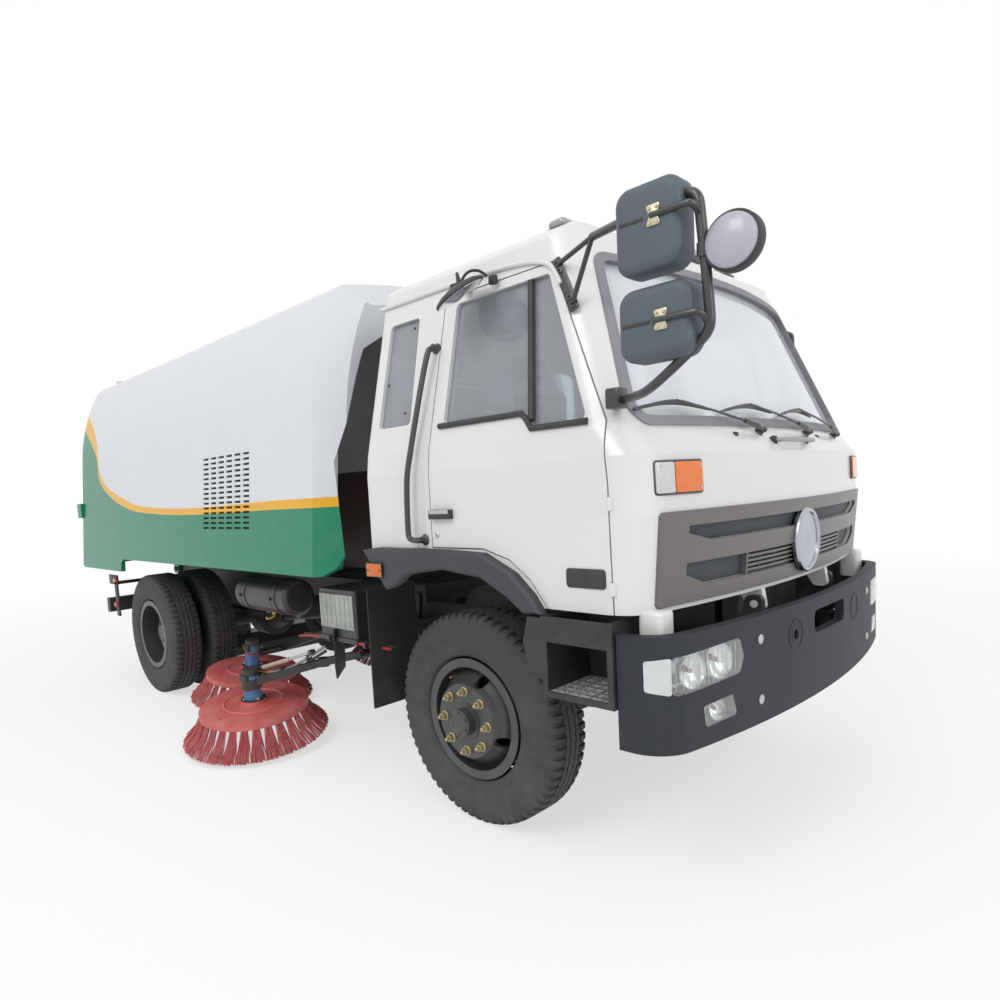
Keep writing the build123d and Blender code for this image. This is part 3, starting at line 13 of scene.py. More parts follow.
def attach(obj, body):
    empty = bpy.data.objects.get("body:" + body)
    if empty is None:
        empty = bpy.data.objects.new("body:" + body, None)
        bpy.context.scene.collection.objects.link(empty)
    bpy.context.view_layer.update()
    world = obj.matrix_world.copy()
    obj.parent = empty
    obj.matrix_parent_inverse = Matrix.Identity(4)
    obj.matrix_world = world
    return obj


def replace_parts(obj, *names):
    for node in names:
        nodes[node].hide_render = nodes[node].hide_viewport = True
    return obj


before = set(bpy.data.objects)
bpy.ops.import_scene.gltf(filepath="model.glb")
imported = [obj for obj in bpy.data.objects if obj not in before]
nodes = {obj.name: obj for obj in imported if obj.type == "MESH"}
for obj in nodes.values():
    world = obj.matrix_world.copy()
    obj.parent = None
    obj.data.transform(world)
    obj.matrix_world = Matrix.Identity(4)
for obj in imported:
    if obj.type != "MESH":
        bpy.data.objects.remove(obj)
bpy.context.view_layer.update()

# ---- camera ----
# A short lens at eye height, off the right front corner.
camera_data = bpy.data.cameras.new("camera")
camera_data.sensor_width = 36
camera_data.lens = 24.816
camera_data.shift_x = 0.0429
camera_data.shift_y = 0.0541
camera_data.clip_start = 0.05
camera_data.clip_end = 200
camera = bpy.data.objects.new("camera", camera_data)
bpy.context.collection.objects.link(camera)
EYE = (4.2135, -3.296, 1.607)
yaw, pitch, roll = (math.radians(a) for a in (46.25, -5.325, -3.278))
look = Vector((-math.sin(yaw) * math.cos(pitch), math.cos(yaw) * math.cos(pitch), math.sin(pitch)))
level_right = Vector((math.cos(yaw), math.sin(yaw), 0))
level_up = level_right.cross(look)
right = math.cos(roll) * level_right + math.sin(roll) * level_up
up = -math.sin(roll) * level_right + math.cos(roll) * level_up
turn = Matrix((right, up, -look)).transposed().to_4x4()
camera.matrix_world = Matrix.Translation(EYE) @ turn
bpy.context.scene.camera = camera
bpy.context.scene.view_settings.view_transform = "Standard"


# ---- floor, sky and lights ----
# A pale studio floor that runs out to white, an even pale sky, and two soft panels of light:
# the key over the truck's right side and a weaker one in front.
def link_nodes(tree, *links):
    """Links between sockets: a node, its output, the next node, its input."""
    for node, output, into, socket in links:
        tree.links.new(node.outputs[output], into.inputs[socket])


def add_node(tree, kind, **values):
    """A shader node; names that start with in_ set its input sockets."""
    node = tree.nodes.new("ShaderNode" + kind)
    for key, value in values.items():
        if key.startswith("in_"):
            name = key[3:].replace("_", " ")
            node.inputs[int(name) if name.isdigit() else name].default_value = value
        else:
            setattr(node, key, value)
    return node


def rays_to_eye(tree):
    """One for what the camera sees, straight or by way of a mirror or a pane."""
    path = add_node(tree, "LightPath")
    first = add_node(tree, "Math", operation="MAXIMUM")
    both = add_node(tree, "Math", operation="MAXIMUM")
    link_nodes(tree, (path, "Is Camera Ray", first, 0), (path, "Is Glossy Ray", first, 1),
               (first, 0, both, 0), (path, "Is Transmission Ray", both, 1))
    return both


def mix_in(tree, share, under, over, output):
    """Mix two shaders by a share into the output."""
    mix = add_node(tree, "MixShader")
    link_nodes(tree, (share, 0, mix, 0), (under, 0, mix, 1), (over, 0, mix, 2),
               (mix, 0, output, "Surface"))


floor_mesh = bpy.data.meshes.new("floor")
floor_shape = bmesh.new()
bmesh.ops.create_circle(floor_shape, cap_ends=True, segments=96, radius=60)
floor_shape.to_mesh(floor_mesh)
floor_shape.free()
floor = bpy.data.objects.new("floor", floor_mesh)
floor.location = (0, 0, -0.001)
bpy.context.collection.objects.link(floor)
floor_material = bpy.data.materials.new("floor")
floor_material.use_nodes = True
tree = floor_material.node_tree
floor_bsdf = tree.nodes["Principled BSDF"]
floor_bsdf.inputs["Base Color"].default_value = (0.86, 0.86, 0.86, 1)
floor_bsdf.inputs["Roughness"].default_value = 0.9
floor_bsdf.inputs["Specular IOR Level"].default_value = 0.1
floor_place = add_node(tree, "TexCoord")
floor_far = add_node(tree, "VectorMath", operation="LENGTH")
floor_fade = add_node(tree, "MapRange", in_From_Min=5, in_From_Max=11, in_To_Min=0.62,
                      in_To_Max=1.0)
floor_share = add_node(tree, "Math", operation="MULTIPLY")
link_nodes(tree, (floor_place, "Object", floor_far, 0),
           (floor_far, "Value", floor_fade, "Value"), (floor_fade, "Result", floor_share, 1),
           (rays_to_eye(tree), 0, floor_share, 0))
floor_glow = add_node(tree, "Emission", in_Color=(1, 1, 1, 1), in_Strength=1.0)
mix_in(tree, floor_share, floor_bsdf, floor_glow, tree.nodes["Material Output"])
floor_mesh.materials.append(floor_material)

world = bpy.data.worlds.new("sky")
bpy.context.scene.world = world
world.use_nodes = True
tree = world.node_tree
sky = tree.nodes["Background"]
sky.inputs["Strength"].default_value = 0.80
sky_seen = add_node(tree, "Background", in_Color=(1, 1, 1, 1), in_Strength=1.0)
sky_place = add_node(tree, "TexCoord")
sky_split = add_node(tree, "SeparateXYZ")
sky_range = add_node(tree, "MapRange", in_From_Min=-1, in_From_Max=1)
sky_ramp = add_node(tree, "ValToRGB")
sky_stops = sky_ramp.color_ramp.elements
sky_stops[0].position, sky_stops[0].color = 0.35, (0.45, 0.44, 0.42, 1)
sky_stops[1].position, sky_stops[1].color = 0.80, (1.0, 1.02, 1.06, 1)
sky_stops.new(0.50).color = (0.72, 0.73, 0.75, 1)
sky_stops.new(0.56).color = (0.88, 0.90, 0.93, 1)
link_nodes(tree, (sky_place, "Generated", sky_split, 0), (sky_split, "Z", sky_range, "Value"),
           (sky_range, "Result", sky_ramp, "Fac"), (sky_ramp, "Color", sky, "Color"))
mix_in(tree, rays_to_eye(tree), sky, sky_seen, tree.nodes["World Output"])


def soft_light(name, place, aim, size, power, color=(1, 1, 1)):
    """A square panel of light turned to its aim."""
    data = bpy.data.lights.new(name, "AREA")
    data.size = size
    data.energy = power
    data.color = color
    lamp = bpy.data.objects.new(name, data)
    lamp.location = place
    lamp.rotation_mode = "QUATERNION"
    lamp.rotation_quaternion = (Vector(aim) - Vector(place)).to_track_quat("-Z", "Y")
    bpy.context.collection.objects.link(lamp)


soft_light("key", (2, -11, 11), aim=(0, -1, 1), size=7, power=760, color=(1, 0.985, 0.96))
soft_light("front", (11, -2, 6), aim=(2, 0, 1.3), size=6, power=290)

# ---- chassis rails, subframe and rear bar ----
# Pressed steel channels and plates, riveted and bolted, sprayed satin black; road dust settles on
# everything that is low.
weathered = bpy.data.node_groups.new("weathered", "ShaderNodeTree")
for name, kind, value in (
        ("Color", "NodeSocketColor", (0.8, 0.8, 0.8, 1)),
        ("Patch Color", "NodeSocketColor", (0.7, 0.7, 0.7, 1)),
        ("Patch Scale", "NodeSocketFloat", 3),
        ("Patch Amount", "NodeSocketFloat", 0.3),
        ("Dust Color", "NodeSocketColor", (0.3, 0.27, 0.22, 1)),
        ("Dust Top", "NodeSocketFloat", 0.9),
        ("Dust Amount", "NodeSocketFloat", 0.3),
        ("Roughness", "NodeSocketFloat", 0.4),
        ("Roughness Spread", "NodeSocketFloat", 0.1),
        ("Grain Scale", "NodeSocketFloat", 200),
        ("Grain Depth", "NodeSocketFloat", 0.1)):
    weathered.interface.new_socket(name, in_out="INPUT", socket_type=kind).default_value = value
for name, kind in (("Color", "NodeSocketColor"), ("Roughness", "NodeSocketFloat"),
                   ("Normal", "NodeSocketVector")):
    weathered.interface.new_socket(name, in_out="OUTPUT", socket_type=kind)
w_in = weathered.nodes.new("NodeGroupInput")
w_out = weathered.nodes.new("NodeGroupOutput")
w_place = add_node(weathered, "TexCoord")
w_patch = add_node(weathered, "TexNoise", in_Detail=6, in_Roughness=0.6)
w_patch_mix = add_node(weathered, "Mix", data_type="RGBA")
w_patch_range = add_node(weathered, "MapRange", in_From_Min=0.35, in_From_Max=0.75)
w_patch_share = add_node(weathered, "Math", operation="MULTIPLY")
w_split = add_node(weathered, "SeparateXYZ")
w_low = add_node(weathered, "MapRange", in_To_Min=1, in_To_Max=0.12)
w_dust = add_node(weathered, "TexNoise", in_Scale=9, in_Detail=8, in_Roughness=0.65)
w_dust_range = add_node(weathered, "MapRange", in_From_Min=0.3, in_From_Max=0.8)
w_dust_low = add_node(weathered, "Math", operation="MULTIPLY")
w_dust_share = add_node(weathered, "Math", operation="MULTIPLY", use_clamp=True)
w_dust_mix = add_node(weathered, "Mix", data_type="RGBA")
w_rough = add_node(weathered, "Math", operation="MULTIPLY_ADD")
w_rough_dust = add_node(weathered, "Math", operation="MULTIPLY", in_1=0.35)
w_rough_sum = add_node(weathered, "Math", operation="ADD", use_clamp=True)
w_grain = add_node(weathered, "TexNoise", in_Detail=3)
w_bump = add_node(weathered, "Bump", in_Distance=0.001)
link_nodes(
    weathered, (w_place, "Object", w_patch, "Vector"), (w_in, "Patch Scale", w_patch, "Scale"),
    (w_patch, "Fac", w_patch_range, "Value"), (w_patch_range, "Result", w_patch_share, 0),
    (w_in, "Patch Amount", w_patch_share, 1), (w_patch_share, 0, w_patch_mix, "Factor"),
    (w_in, "Color", w_patch_mix, "A"), (w_in, "Patch Color", w_patch_mix, "B"),
    (w_place, "Object", w_split, 0), (w_split, "Z", w_low, "Value"),
    (w_in, "Dust Top", w_low, "From Max"), (w_place, "Object", w_dust, "Vector"),
    (w_dust, "Fac", w_dust_range, "Value"), (w_dust_range, "Result", w_dust_low, 0),
    (w_low, "Result", w_dust_low, 1), (w_dust_low, 0, w_dust_share, 0),
    (w_in, "Dust Amount", w_dust_share, 1), (w_dust_share, 0, w_dust_mix, "Factor"),
    (w_patch_mix, "Result", w_dust_mix, "A"), (w_in, "Dust Color", w_dust_mix, "B"),
    (w_patch, "Fac", w_rough, 0), (w_in, "Roughness Spread", w_rough, 1),
    (w_in, "Roughness", w_rough, 2), (w_dust_share, 0, w_rough_dust, 0),
    (w_rough, 0, w_rough_sum, 0), (w_rough_dust, 0, w_rough_sum, 1),
    (w_place, "Object", w_grain, "Vector"), (w_in, "Grain Scale", w_grain, "Scale"),
    (w_grain, "Fac", w_bump, "Height"), (w_in, "Grain Depth", w_bump, "Strength"),
    (w_dust_mix, "Result", w_out, "Color"), (w_rough_sum, 0, w_out, "Roughness"),
    (w_bump, "Normal", w_out, "Normal"))


def finish(name, color, patch=None, patch_scale=3.0, patch_amount=0.4, dust=0.3, dust_top=1.0,
           dust_color=(0.3, 0.27, 0.22), roughness=0.45, spread=0.15, grain=250.0, grain_depth=0.12,
           **shader):
    """A material whose colour, roughness and bump come from the weathered group."""
    material = bpy.data.materials.new(name)
    material.use_nodes = True
    tree = material.node_tree
    bsdf = tree.nodes["Principled BSDF"]
    for key, value in shader.items():
        bsdf.inputs[key.replace("_", " ")].default_value = value
    group = add_node(tree, "Group")
    group.node_tree = weathered
    group.name = "weathered"
    for key, value in (
            ("Color", (*color, 1)), ("Patch Color", (*(patch or [c * 0.8 for c in color]), 1)),
            ("Patch Scale", patch_scale), ("Patch Amount", patch_amount),
            ("Dust Color", (*dust_color, 1)), ("Dust Top", dust_top), ("Dust Amount", dust),
            ("Roughness", roughness - spread / 2), ("Roughness Spread", spread),
            ("Grain Scale", grain), ("Grain Depth", grain_depth)):
        group.inputs[key].default_value = value
    link_nodes(tree, (group, "Color", bsdf, "Base Color"),
               (group, "Roughness", bsdf, "Roughness"),
               (group, "Normal", bsdf, "Normal"))
    return material


def dress(material, names):
    """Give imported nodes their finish."""
    for name in names.split():
        mesh = nodes[name].data
        mesh.materials.clear()
        mesh.materials.append(material)


chassis_paint = finish("chassis_paint", (0.012, 0.012, 0.013), patch=(0.03, 0.028, 0.026),
                       patch_scale=6, dust=0.45, dust_top=1.4, dust_color=(0.16, 0.14, 0.12),
                       grain=120, grain_depth=0.3)
dress(chassis_paint, "frame_rails subframe rear_underrun radiator tip_cylinder suction_nozzle")
chrome_rod = finish("chrome_rod", (0.7, 0.7, 0.7), dust=0.15, roughness=0.18, grain_depth=0.02,
                    Metallic=1.0)
dress(chrome_rod, "tip_rod")


# ---- axles, springs and power unit ----
# Forged and cast steel under the truck, with a thin coat of paint that has let some rust through.
cast_steel = finish("cast_steel", (0.03, 0.029, 0.028), patch=(0.07, 0.05, 0.035), patch_scale=9,
                    dust=0.6, dust_top=1.2, dust_color=(0.17, 0.145, 0.115), roughness=0.6,
                    grain=150, grain_depth=0.5)
dress(cast_steel, "leaf_springs axles engine_block driveshaft knuckle_right knuckle_left")


# ---- tyres ----
# Cross-ply truck tyres, 1.03 m across: dusty black rubber with three ribs, two wavy grooves and
# open shoulder blocks, mounted on the rims and turned to different places.
tyre_rubber = finish("tyre_rubber", (0.030, 0.029, 0.027), patch=(0.05, 0.048, 0.045),
                     patch_scale=6, patch_amount=0.8, dust=0.7, dust_top=1.3,
                     dust_color=(0.125, 0.12, 0.108), roughness=0.75, grain=180, grain_depth=0.4)
FRONT_AXLE_X = 1.9125
REAR_AXLE_X = -1.8875
AXLE_Z = 0.514
TYRE_PITCHES = 64
TYRE_SECTION = (                 # distance from the middle plane, radius
    (0.0000, 0.5140), (0.0150, 0.5140), (0.0165, 0.5020), (0.0235, 0.5020), (0.0250, 0.5140),
    (0.0460, 0.5140), (0.0475, 0.5010), (0.0555, 0.5010), (0.0570, 0.5138), (0.0800, 0.5136),
    (0.0920, 0.5110), (0.1020, 0.5060), (0.1085, 0.4960), (0.1125, 0.4850), (0.1150, 0.4740),
    (0.1160, 0.4715), (0.1195, 0.4560), (0.1200, 0.4535), (0.1232, 0.4350), (0.1255, 0.4100),
    (0.1260, 0.3850), (0.1248, 0.3600), (0.1220, 0.3400), (0.1228, 0.3370), (0.1212, 0.3330),
    (0.1150, 0.3190), (0.1130, 0.3110), (0.1065, 0.3060), (0.0985, 0.3000))
TYRE_STEPS = (0.0, 0.20, 0.44, 0.50, 0.90, 0.96)     # places of a pitch's rows, as shares of it
TYRE_SLOT = (3, 4)                                   # the rows that lie in the slot
SHOULDER = 0.0565                                    # the blocks start here
BEAD_END = 0.483                                     # and end at this radius
WAVE = 0.010                                         # how far the grooves weave
SLOT_DEPTH, SIDE_SLOT_DEPTH = 0.012, 0.008           # on the tread, and past the tyre's edge
EDGE = 0.105


def at(x, y, z):
    """A point given from the front axle's line on the ground, in the truck's own frame."""
    return Vector((x + FRONT_AXLE_X, y, z))


FROM_AXLE = Matrix.Translation((FRONT_AXLE_X, 0, 0))


def piece(name, shape, material, body, angle=32):
    """A smooth-shaded mesh object made from a bmesh, which rides on a body."""
    bmesh.ops.recalc_face_normals(shape, faces=shape.faces)
    mesh = bpy.data.meshes.new(name)
    shape.to_mesh(mesh)
    shape.free()
    for one in material if isinstance(material, (list, tuple)) else [material]:
        mesh.materials.append(one)
    mesh.polygons.foreach_set("use_smooth", [True] * len(mesh.polygons))
    mesh.set_sharp_from_angle(angle=math.radians(angle))
    made = bpy.data.objects.new(name, mesh)
    bpy.context.collection.objects.link(made)
    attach(made, body)
    return made


def join(shape, part, place=None, slot=0):
    """Put a finished part into a piece's shape."""
    for face in part.faces:
        face.material_index = slot
    if place is not None:
        bmesh.ops.transform(part, matrix=place, verts=part.verts)
    mesh = bpy.data.meshes.new("part")
    part.to_mesh(mesh)
    part.free()
    shape.from_mesh(mesh)
    bpy.data.meshes.remove(mesh)


def build(name, material, body, *parts, angle=32):
    """A piece put together from parts: shapes alone, or with their place and material slot."""
    shape = bmesh.new()
    for part in parts:
        join(shape, *(part if isinstance(part, tuple) else (part,)))
    return piece(name, shape, material, body, angle)


def tyre_shape():
    """One tyre about the Y axis at the origin: its section spun round, then cut into blocks."""
    tyre = bmesh.new()
    section = [(-y, r) for y, r in reversed(TYRE_SECTION[1:])] + list(TYRE_SECTION)
    points = [tyre.verts.new((r, y, 0)) for y, r in section]
    edges = [tyre.edges.new(pair) for pair in zip(points, points[1:])]
    steps = TYRE_PITCHES * len(TYRE_STEPS)
    bmesh.ops.spin(tyre, geom=points + edges, cent=(0, 0, 0), axis=(0, -1, 0), angle=math.tau,
                   steps=steps, use_merge=True)
    for v in tyre.verts:
        x, y, z = v.co
        r = math.hypot(x, z)
        step = round(math.atan2(z, x) / math.tau * steps) % steps
        pitch, row = divmod(step, len(TYRE_STEPS))
        side = 1 if y >= 0 else -1
        share = TYRE_STEPS[row]
        wave = abs(share - 0.48) * 2 - 0.5
        lean = 0.10 * max(0.0, abs(y) - 0.05) / 0.06
        angle = math.tau * (pitch + share + side * 0.25 + lean) / TYRE_PITCHES
        if r > 0.5 and 0.001 < abs(y) < SHOULDER + 0.001:
            y += WAVE * wave * side * (1 if abs(y) > 0.03 else -0.7)
        if abs(v.co.y) > SHOULDER and r > BEAD_END and row in TYRE_SLOT:
            r -= SLOT_DEPTH if abs(y) < EDGE else SIDE_SLOT_DEPTH
        v.co = (r * math.cos(angle), y, r * math.sin(angle))
    return tyre


WHEELS = (                       # tyre node, rim node, body, x, middle planes, outer side
    ("front_tyre_right", "front_rim_right", "front_wheel_right", FRONT_AXLE_X, (-0.949,), -1),
    ("front_tyre_left", "front_rim_left", "front_wheel_left", FRONT_AXLE_X, (0.949,), 1),
    ("rear_tyres_right", "rear_rims_right", "rear_wheels_right", REAR_AXLE_X, (-1.040, -0.723), -1),
    ("rear_tyres_left", "rear_rims_left", "rear_wheels_left", REAR_AXLE_X, (1.040, 0.723), 1))
for tyre_node, _, body, x, planes, _ in WHEELS:
    tread = build(tyre_node + "_tread", tyre_rubber, body, *[
        (tyre_shape(), Matrix.Translation((x, y, AXLE_Z)) @ Matrix.Rotation(0.4 * y, 4, "Y"))
        for y in planes], angle=38)
    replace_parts(tread, tyre_node)


# ---- rims with their studs, nuts and hub bolts ----
# Pressed steel discs in dark grey gloss paint, on heavy hubs; the nuts and studs are zinc plated
# and yellow, and a ring of small bolts holds the hub's cap.
rim_paint = finish("rim_paint", (0.027, 0.028, 0.030), patch=(0.045, 0.046, 0.047), patch_scale=12,
                   dust=0.5, dust_top=1.1, dust_color=(0.13, 0.12, 0.105), roughness=0.38,
                   grain=120, grain_depth=0.25, Coat_Weight=0.35, Coat_Roughness=0.25)
yellow_zinc = finish("yellow_zinc", (0.50, 0.42, 0.22), patch=(0.28, 0.24, 0.16), patch_scale=60,
                     patch_amount=0.7, dust_top=1.2, roughness=0.38, grain=400, grain_depth=0.3,
                     Metallic=0.7)
dress(rim_paint, "front_rim_right front_rim_left rear_rims_right rear_rims_left")
STUDS, STUD_CIRCLE = 8, 0.143
VALVE_CIRCLE, VALVE_ANGLE = 0.225, 2.2


def facing(direction):
    """A turn that takes +Z to a direction."""
    return Vector(direction).to_track_quat("Z", "Y").to_matrix().to_4x4()


def set_at(x, y, z, direction=None):
    """A place given from the front axle's line, its local Z along a direction."""
    place = Matrix.Translation(at(x, y, z))
    return place @ facing(direction) if direction else place


def round_axle(x, y, side, circle, angle):
    """A place on a circle round an axle, looking outwards."""
    return Matrix.Translation((x + circle * math.cos(angle), y,
                               AXLE_Z + circle * math.sin(angle))) @ facing((0, side, 0))


def turned(profile, steps=24):
    """A part turned on a lathe: (radius, along) points spun round the Z axis."""
    part = bmesh.new()
    points = [part.verts.new((r, 0, along)) for r, along in profile]
    edges = [part.edges.new(pair) for pair in zip(points, points[1:])]
    bmesh.ops.spin(part, geom=points + edges, cent=(0, 0, 0), axis=(0, 0, 1), angle=math.tau,
                   steps=steps, use_merge=True)
    bmesh.ops.remove_doubles(part, verts=part.verts, dist=1e-6)
    bmesh.ops.dissolve_degenerate(part, edges=part.edges, dist=1e-7)
    return part


def hexagon(size, height):
    """A bolt head or nut with its corners cut."""
    return turned(((0, 0), (size, 0), (size, height * 0.8), (size * 0.86, height), (0, height)), 6)


def button(radius, edge, top, height, steps=20):
    """A round head: its side up to the edge, then a slant to the smaller top."""
    return turned(((0, 0), (radius, 0), (radius, edge), (top, height), (0, height)), steps)


FRONT_HUB = (0.150, 0.1975, 0.055, 6, 0.052)        # off the middle plane: the disc's face, the
REAR_HUB = (-0.1465, 0.0155, -0.055, 10, 0.082)     # cap, the valve; then bolts and their circle
for _, rim_node, body, x, planes, side in WHEELS:
    face, cap, valve, bolts, reach = FRONT_HUB if len(planes) == 1 else REAR_HUB
    parts = []
    for i in range(STUDS):
        place = round_axle(x, planes[0] + side * face, side, STUD_CIRCLE, math.tau * i / STUDS)
        parts += [
            (button(0.024, 0.003, 0.021, 0.005), place),
            (hexagon(0.0195, 0.0255), place @ Matrix.Rotation(0.3, 4, "Z")),
            (turned(((0.0095, 0.02), (0.0095, 0.040), (0.0075, 0.043), (0, 0.043)), 12), place)]
    parts += [(hexagon(0.0075, 0.006), round_axle(x, planes[0] + side * cap, side, reach,
                                                  math.tau * (i + 0.5) / bolts), 1)
              for i in range(bolts)]
    parts.append((turned(((0, 0), (0.006, 0), (0.006, 0.03), (0.0045, 0.034), (0.0045, 0.055),
                          (0, 0.056)), 10),
                  round_axle(x, planes[0] + side * valve, side, VALVE_CIRCLE, VALVE_ANGLE)))
    build(rim_node + "_fixings", [yellow_zinc, rim_paint], body, *parts)


# ---- cab shell and doors ----
# Pressed steel panels, spot welded and sprayed cream white; the doors hang on lift-off pins. A
# rolled drip rail is welded over the door, and small fittings are screwed to the skin.
cab_paint = finish("cab_paint", (0.64, 0.64, 0.625), patch=(0.61, 0.605, 0.58), patch_scale=1.2,
                   dust=0.14, dust_top=2.0, dust_color=(0.5, 0.47, 0.42), roughness=0.3, spread=0.1,
                   grain=60, grain_depth=0.05, Coat_Weight=0.4, Coat_Roughness=0.12)
# Black rubber, and also dark blocks that are painted shade: the door handle's recess and the mirror
# heads' grooves.
black_rubber = finish("black_rubber", (0.02, 0.02, 0.022), patch=(0.05, 0.05, 0.053),
                      patch_scale=20, dust_top=3, dust_color=(0.12, 0.12, 0.12), roughness=0.55)
bright_steel = finish("bright_steel", (0.55, 0.56, 0.57), patch=(0.4, 0.4, 0.41), patch_scale=40,
                      dust=0.1, dust_top=3, roughness=0.28, Metallic=1.0)
dress(cab_paint, "cab_shell door_right door_left")


def block(low, high, bevel=0.0, segments=2):
    """A box between two corners, its edges rounded."""
    part = bmesh.new()
    low, high = Vector(low), Vector(high)
    bmesh.ops.create_cube(part, size=1)
    bmesh.ops.scale(part, vec=high - low, verts=part.verts)
    bmesh.ops.translate(part, vec=(low + high) / 2, verts=part.verts)
    if bevel:
        bmesh.ops.bevel(part, geom=part.edges[:], offset=bevel, segments=segments, profile=0.5,
                        affect="EDGES", material=-1, clamp_overlap=True)
    return part


def plate(outline, depth, bevel=0.0, border=0.0):
    """An outline in X and Y made thick along +Z; with a border, only its rim is left."""
    part = bmesh.new()
    face = part.faces.new([part.verts.new((x, y, 0)) for x, y in outline])
    if border:
        bmesh.ops.inset_region(part, faces=[face], thickness=border, use_even_offset=True)
        bmesh.ops.delete(part, geom=[face], context="FACES_ONLY")
    top = bmesh.ops.extrude_face_region(part, geom=part.faces[:])["geom"]
    bmesh.ops.translate(part, vec=(0, 0, depth),
                        verts=[v for v in top if isinstance(v, bmesh.types.BMVert)])
    bmesh.ops.recalc_face_normals(part, faces=part.faces)
    if bevel:
        rim = [e for e in part.edges if abs(e.verts[0].co.z - e.verts[1].co.z) < 1e-7
               and e.verts[0].co.z > depth / 2 and e.calc_face_angle(0) > 0.6]
        bmesh.ops.bevel(part, geom=rim, offset=bevel, segments=2, profile=0.5, affect="EDGES",
                        material=-1, clamp_overlap=True)
    return part


def rounded(points, radius, steps=4):
    """An outline with each corner rounded."""
    done = []
    for i, point in enumerate(points):
        p = Vector(point)
        before = (Vector(points[i - 1]) - p).normalized()
        after = (Vector(points[(i + 1) % len(points)]) - p).normalized()
        half = before.angle(after) / 2
        reach = radius / math.tan(half)
        centre = p + (before + after).normalized() * (radius / math.sin(half))
        a, b = p + before * reach - centre, p + after * reach - centre
        for k in range(steps + 1):
            mixed = (a * (1 - k / steps) + b * k / steps).normalized() * radius
            done.append(tuple(centre + mixed))
    return done


def oblong(x1, y1, x2, y2):
    """The corners of a box drawn flat."""
    return [(x1, y1), (x2, y1), (x2, y2), (x1, y2)]


def pipe(points, radius, sides=12, resolution=8, straight=False):
    """A bent bar or tube along a smooth line through its control points."""
    curve = bpy.data.curves.new("pipe", "CURVE")
    curve.dimensions = "3D"
    spline = curve.splines.new("POLY" if straight else "NURBS")
    spline.points.add(len(points) - 1)
    for control, point in zip(spline.points, points):
        control.co = (*point, 1)
    if not straight:
        spline.order_u = 3
        spline.use_endpoint_u = True
        spline.resolution_u = resolution
    curve.bevel_depth = radius
    curve.bevel_resolution = max(1, sides // 4)
    curve.use_fill_caps = True
    holder = bpy.data.objects.new("pipe", curve)
    mesh = bpy.data.meshes.new_from_object(holder)
    bpy.data.objects.remove(holder)
    part = bmesh.new()
    part.from_mesh(mesh)
    bpy.data.meshes.remove(mesh)
    bpy.data.curves.remove(curve)
    bmesh.ops.remove_doubles(part, verts=part.verts, dist=1e-6)
    return part


def tube(points, *values, **options):
    """A pipe whose points are given from the front axle's line."""
    return pipe([at(*point) for point in points], *values, **options)


def screw(radius, height=0.004):
    """A round screw head."""
    return turned(((0, 0), (radius, 0), (radius, height * 0.5), (radius * 0.75, height * 0.9),
                   (radius * 0.3, height), (0, height)), 12)


SIDES = ((-1, "right"), (1, "left"))
SIDE_Y = 1.19                        # the flat side below the belt
BELT_Y, BELT_Z = 1.178, 1.795
LEAN_IN = 0.239                      # the sides lean in by so much a metre above the belt
LEAN = math.atan(LEAN_IN)
FLARE_Y = 1.238                      # the arches' and step panels' outer face


def side_wall(x, z, side, y=SIDE_Y):
    """A place on the flat side: local X along the truck, local Y up, local Z outwards."""
    return Matrix(((1, 0, 0, x + FRONT_AXLE_X), (0, 0, side, side * y), (0, 1, 0, z), (0, 0, 0, 1)))


def upper_wall(x, z, side, proud=0.0):
    """The same on the leaning side above the belt, at a height z."""
    y = BELT_Y - LEAN_IN * (z - BELT_Z)
    c, s = math.cos(LEAN), math.sin(LEAN)
    base = Vector((x + FRONT_AXLE_X, side * y, z)) + Vector((0, side * c, s)) * proud
    return Matrix(((1, 0, 0, base.x), (0, -side * s, side * c, base.y), (0, c, s, base.z),
                   (0, 0, 0, 1)))


def wall_line(points, side, proud):
    """Points over the leaning side."""
    return [upper_wall(x, z, side, proud).translation for x, z in points]


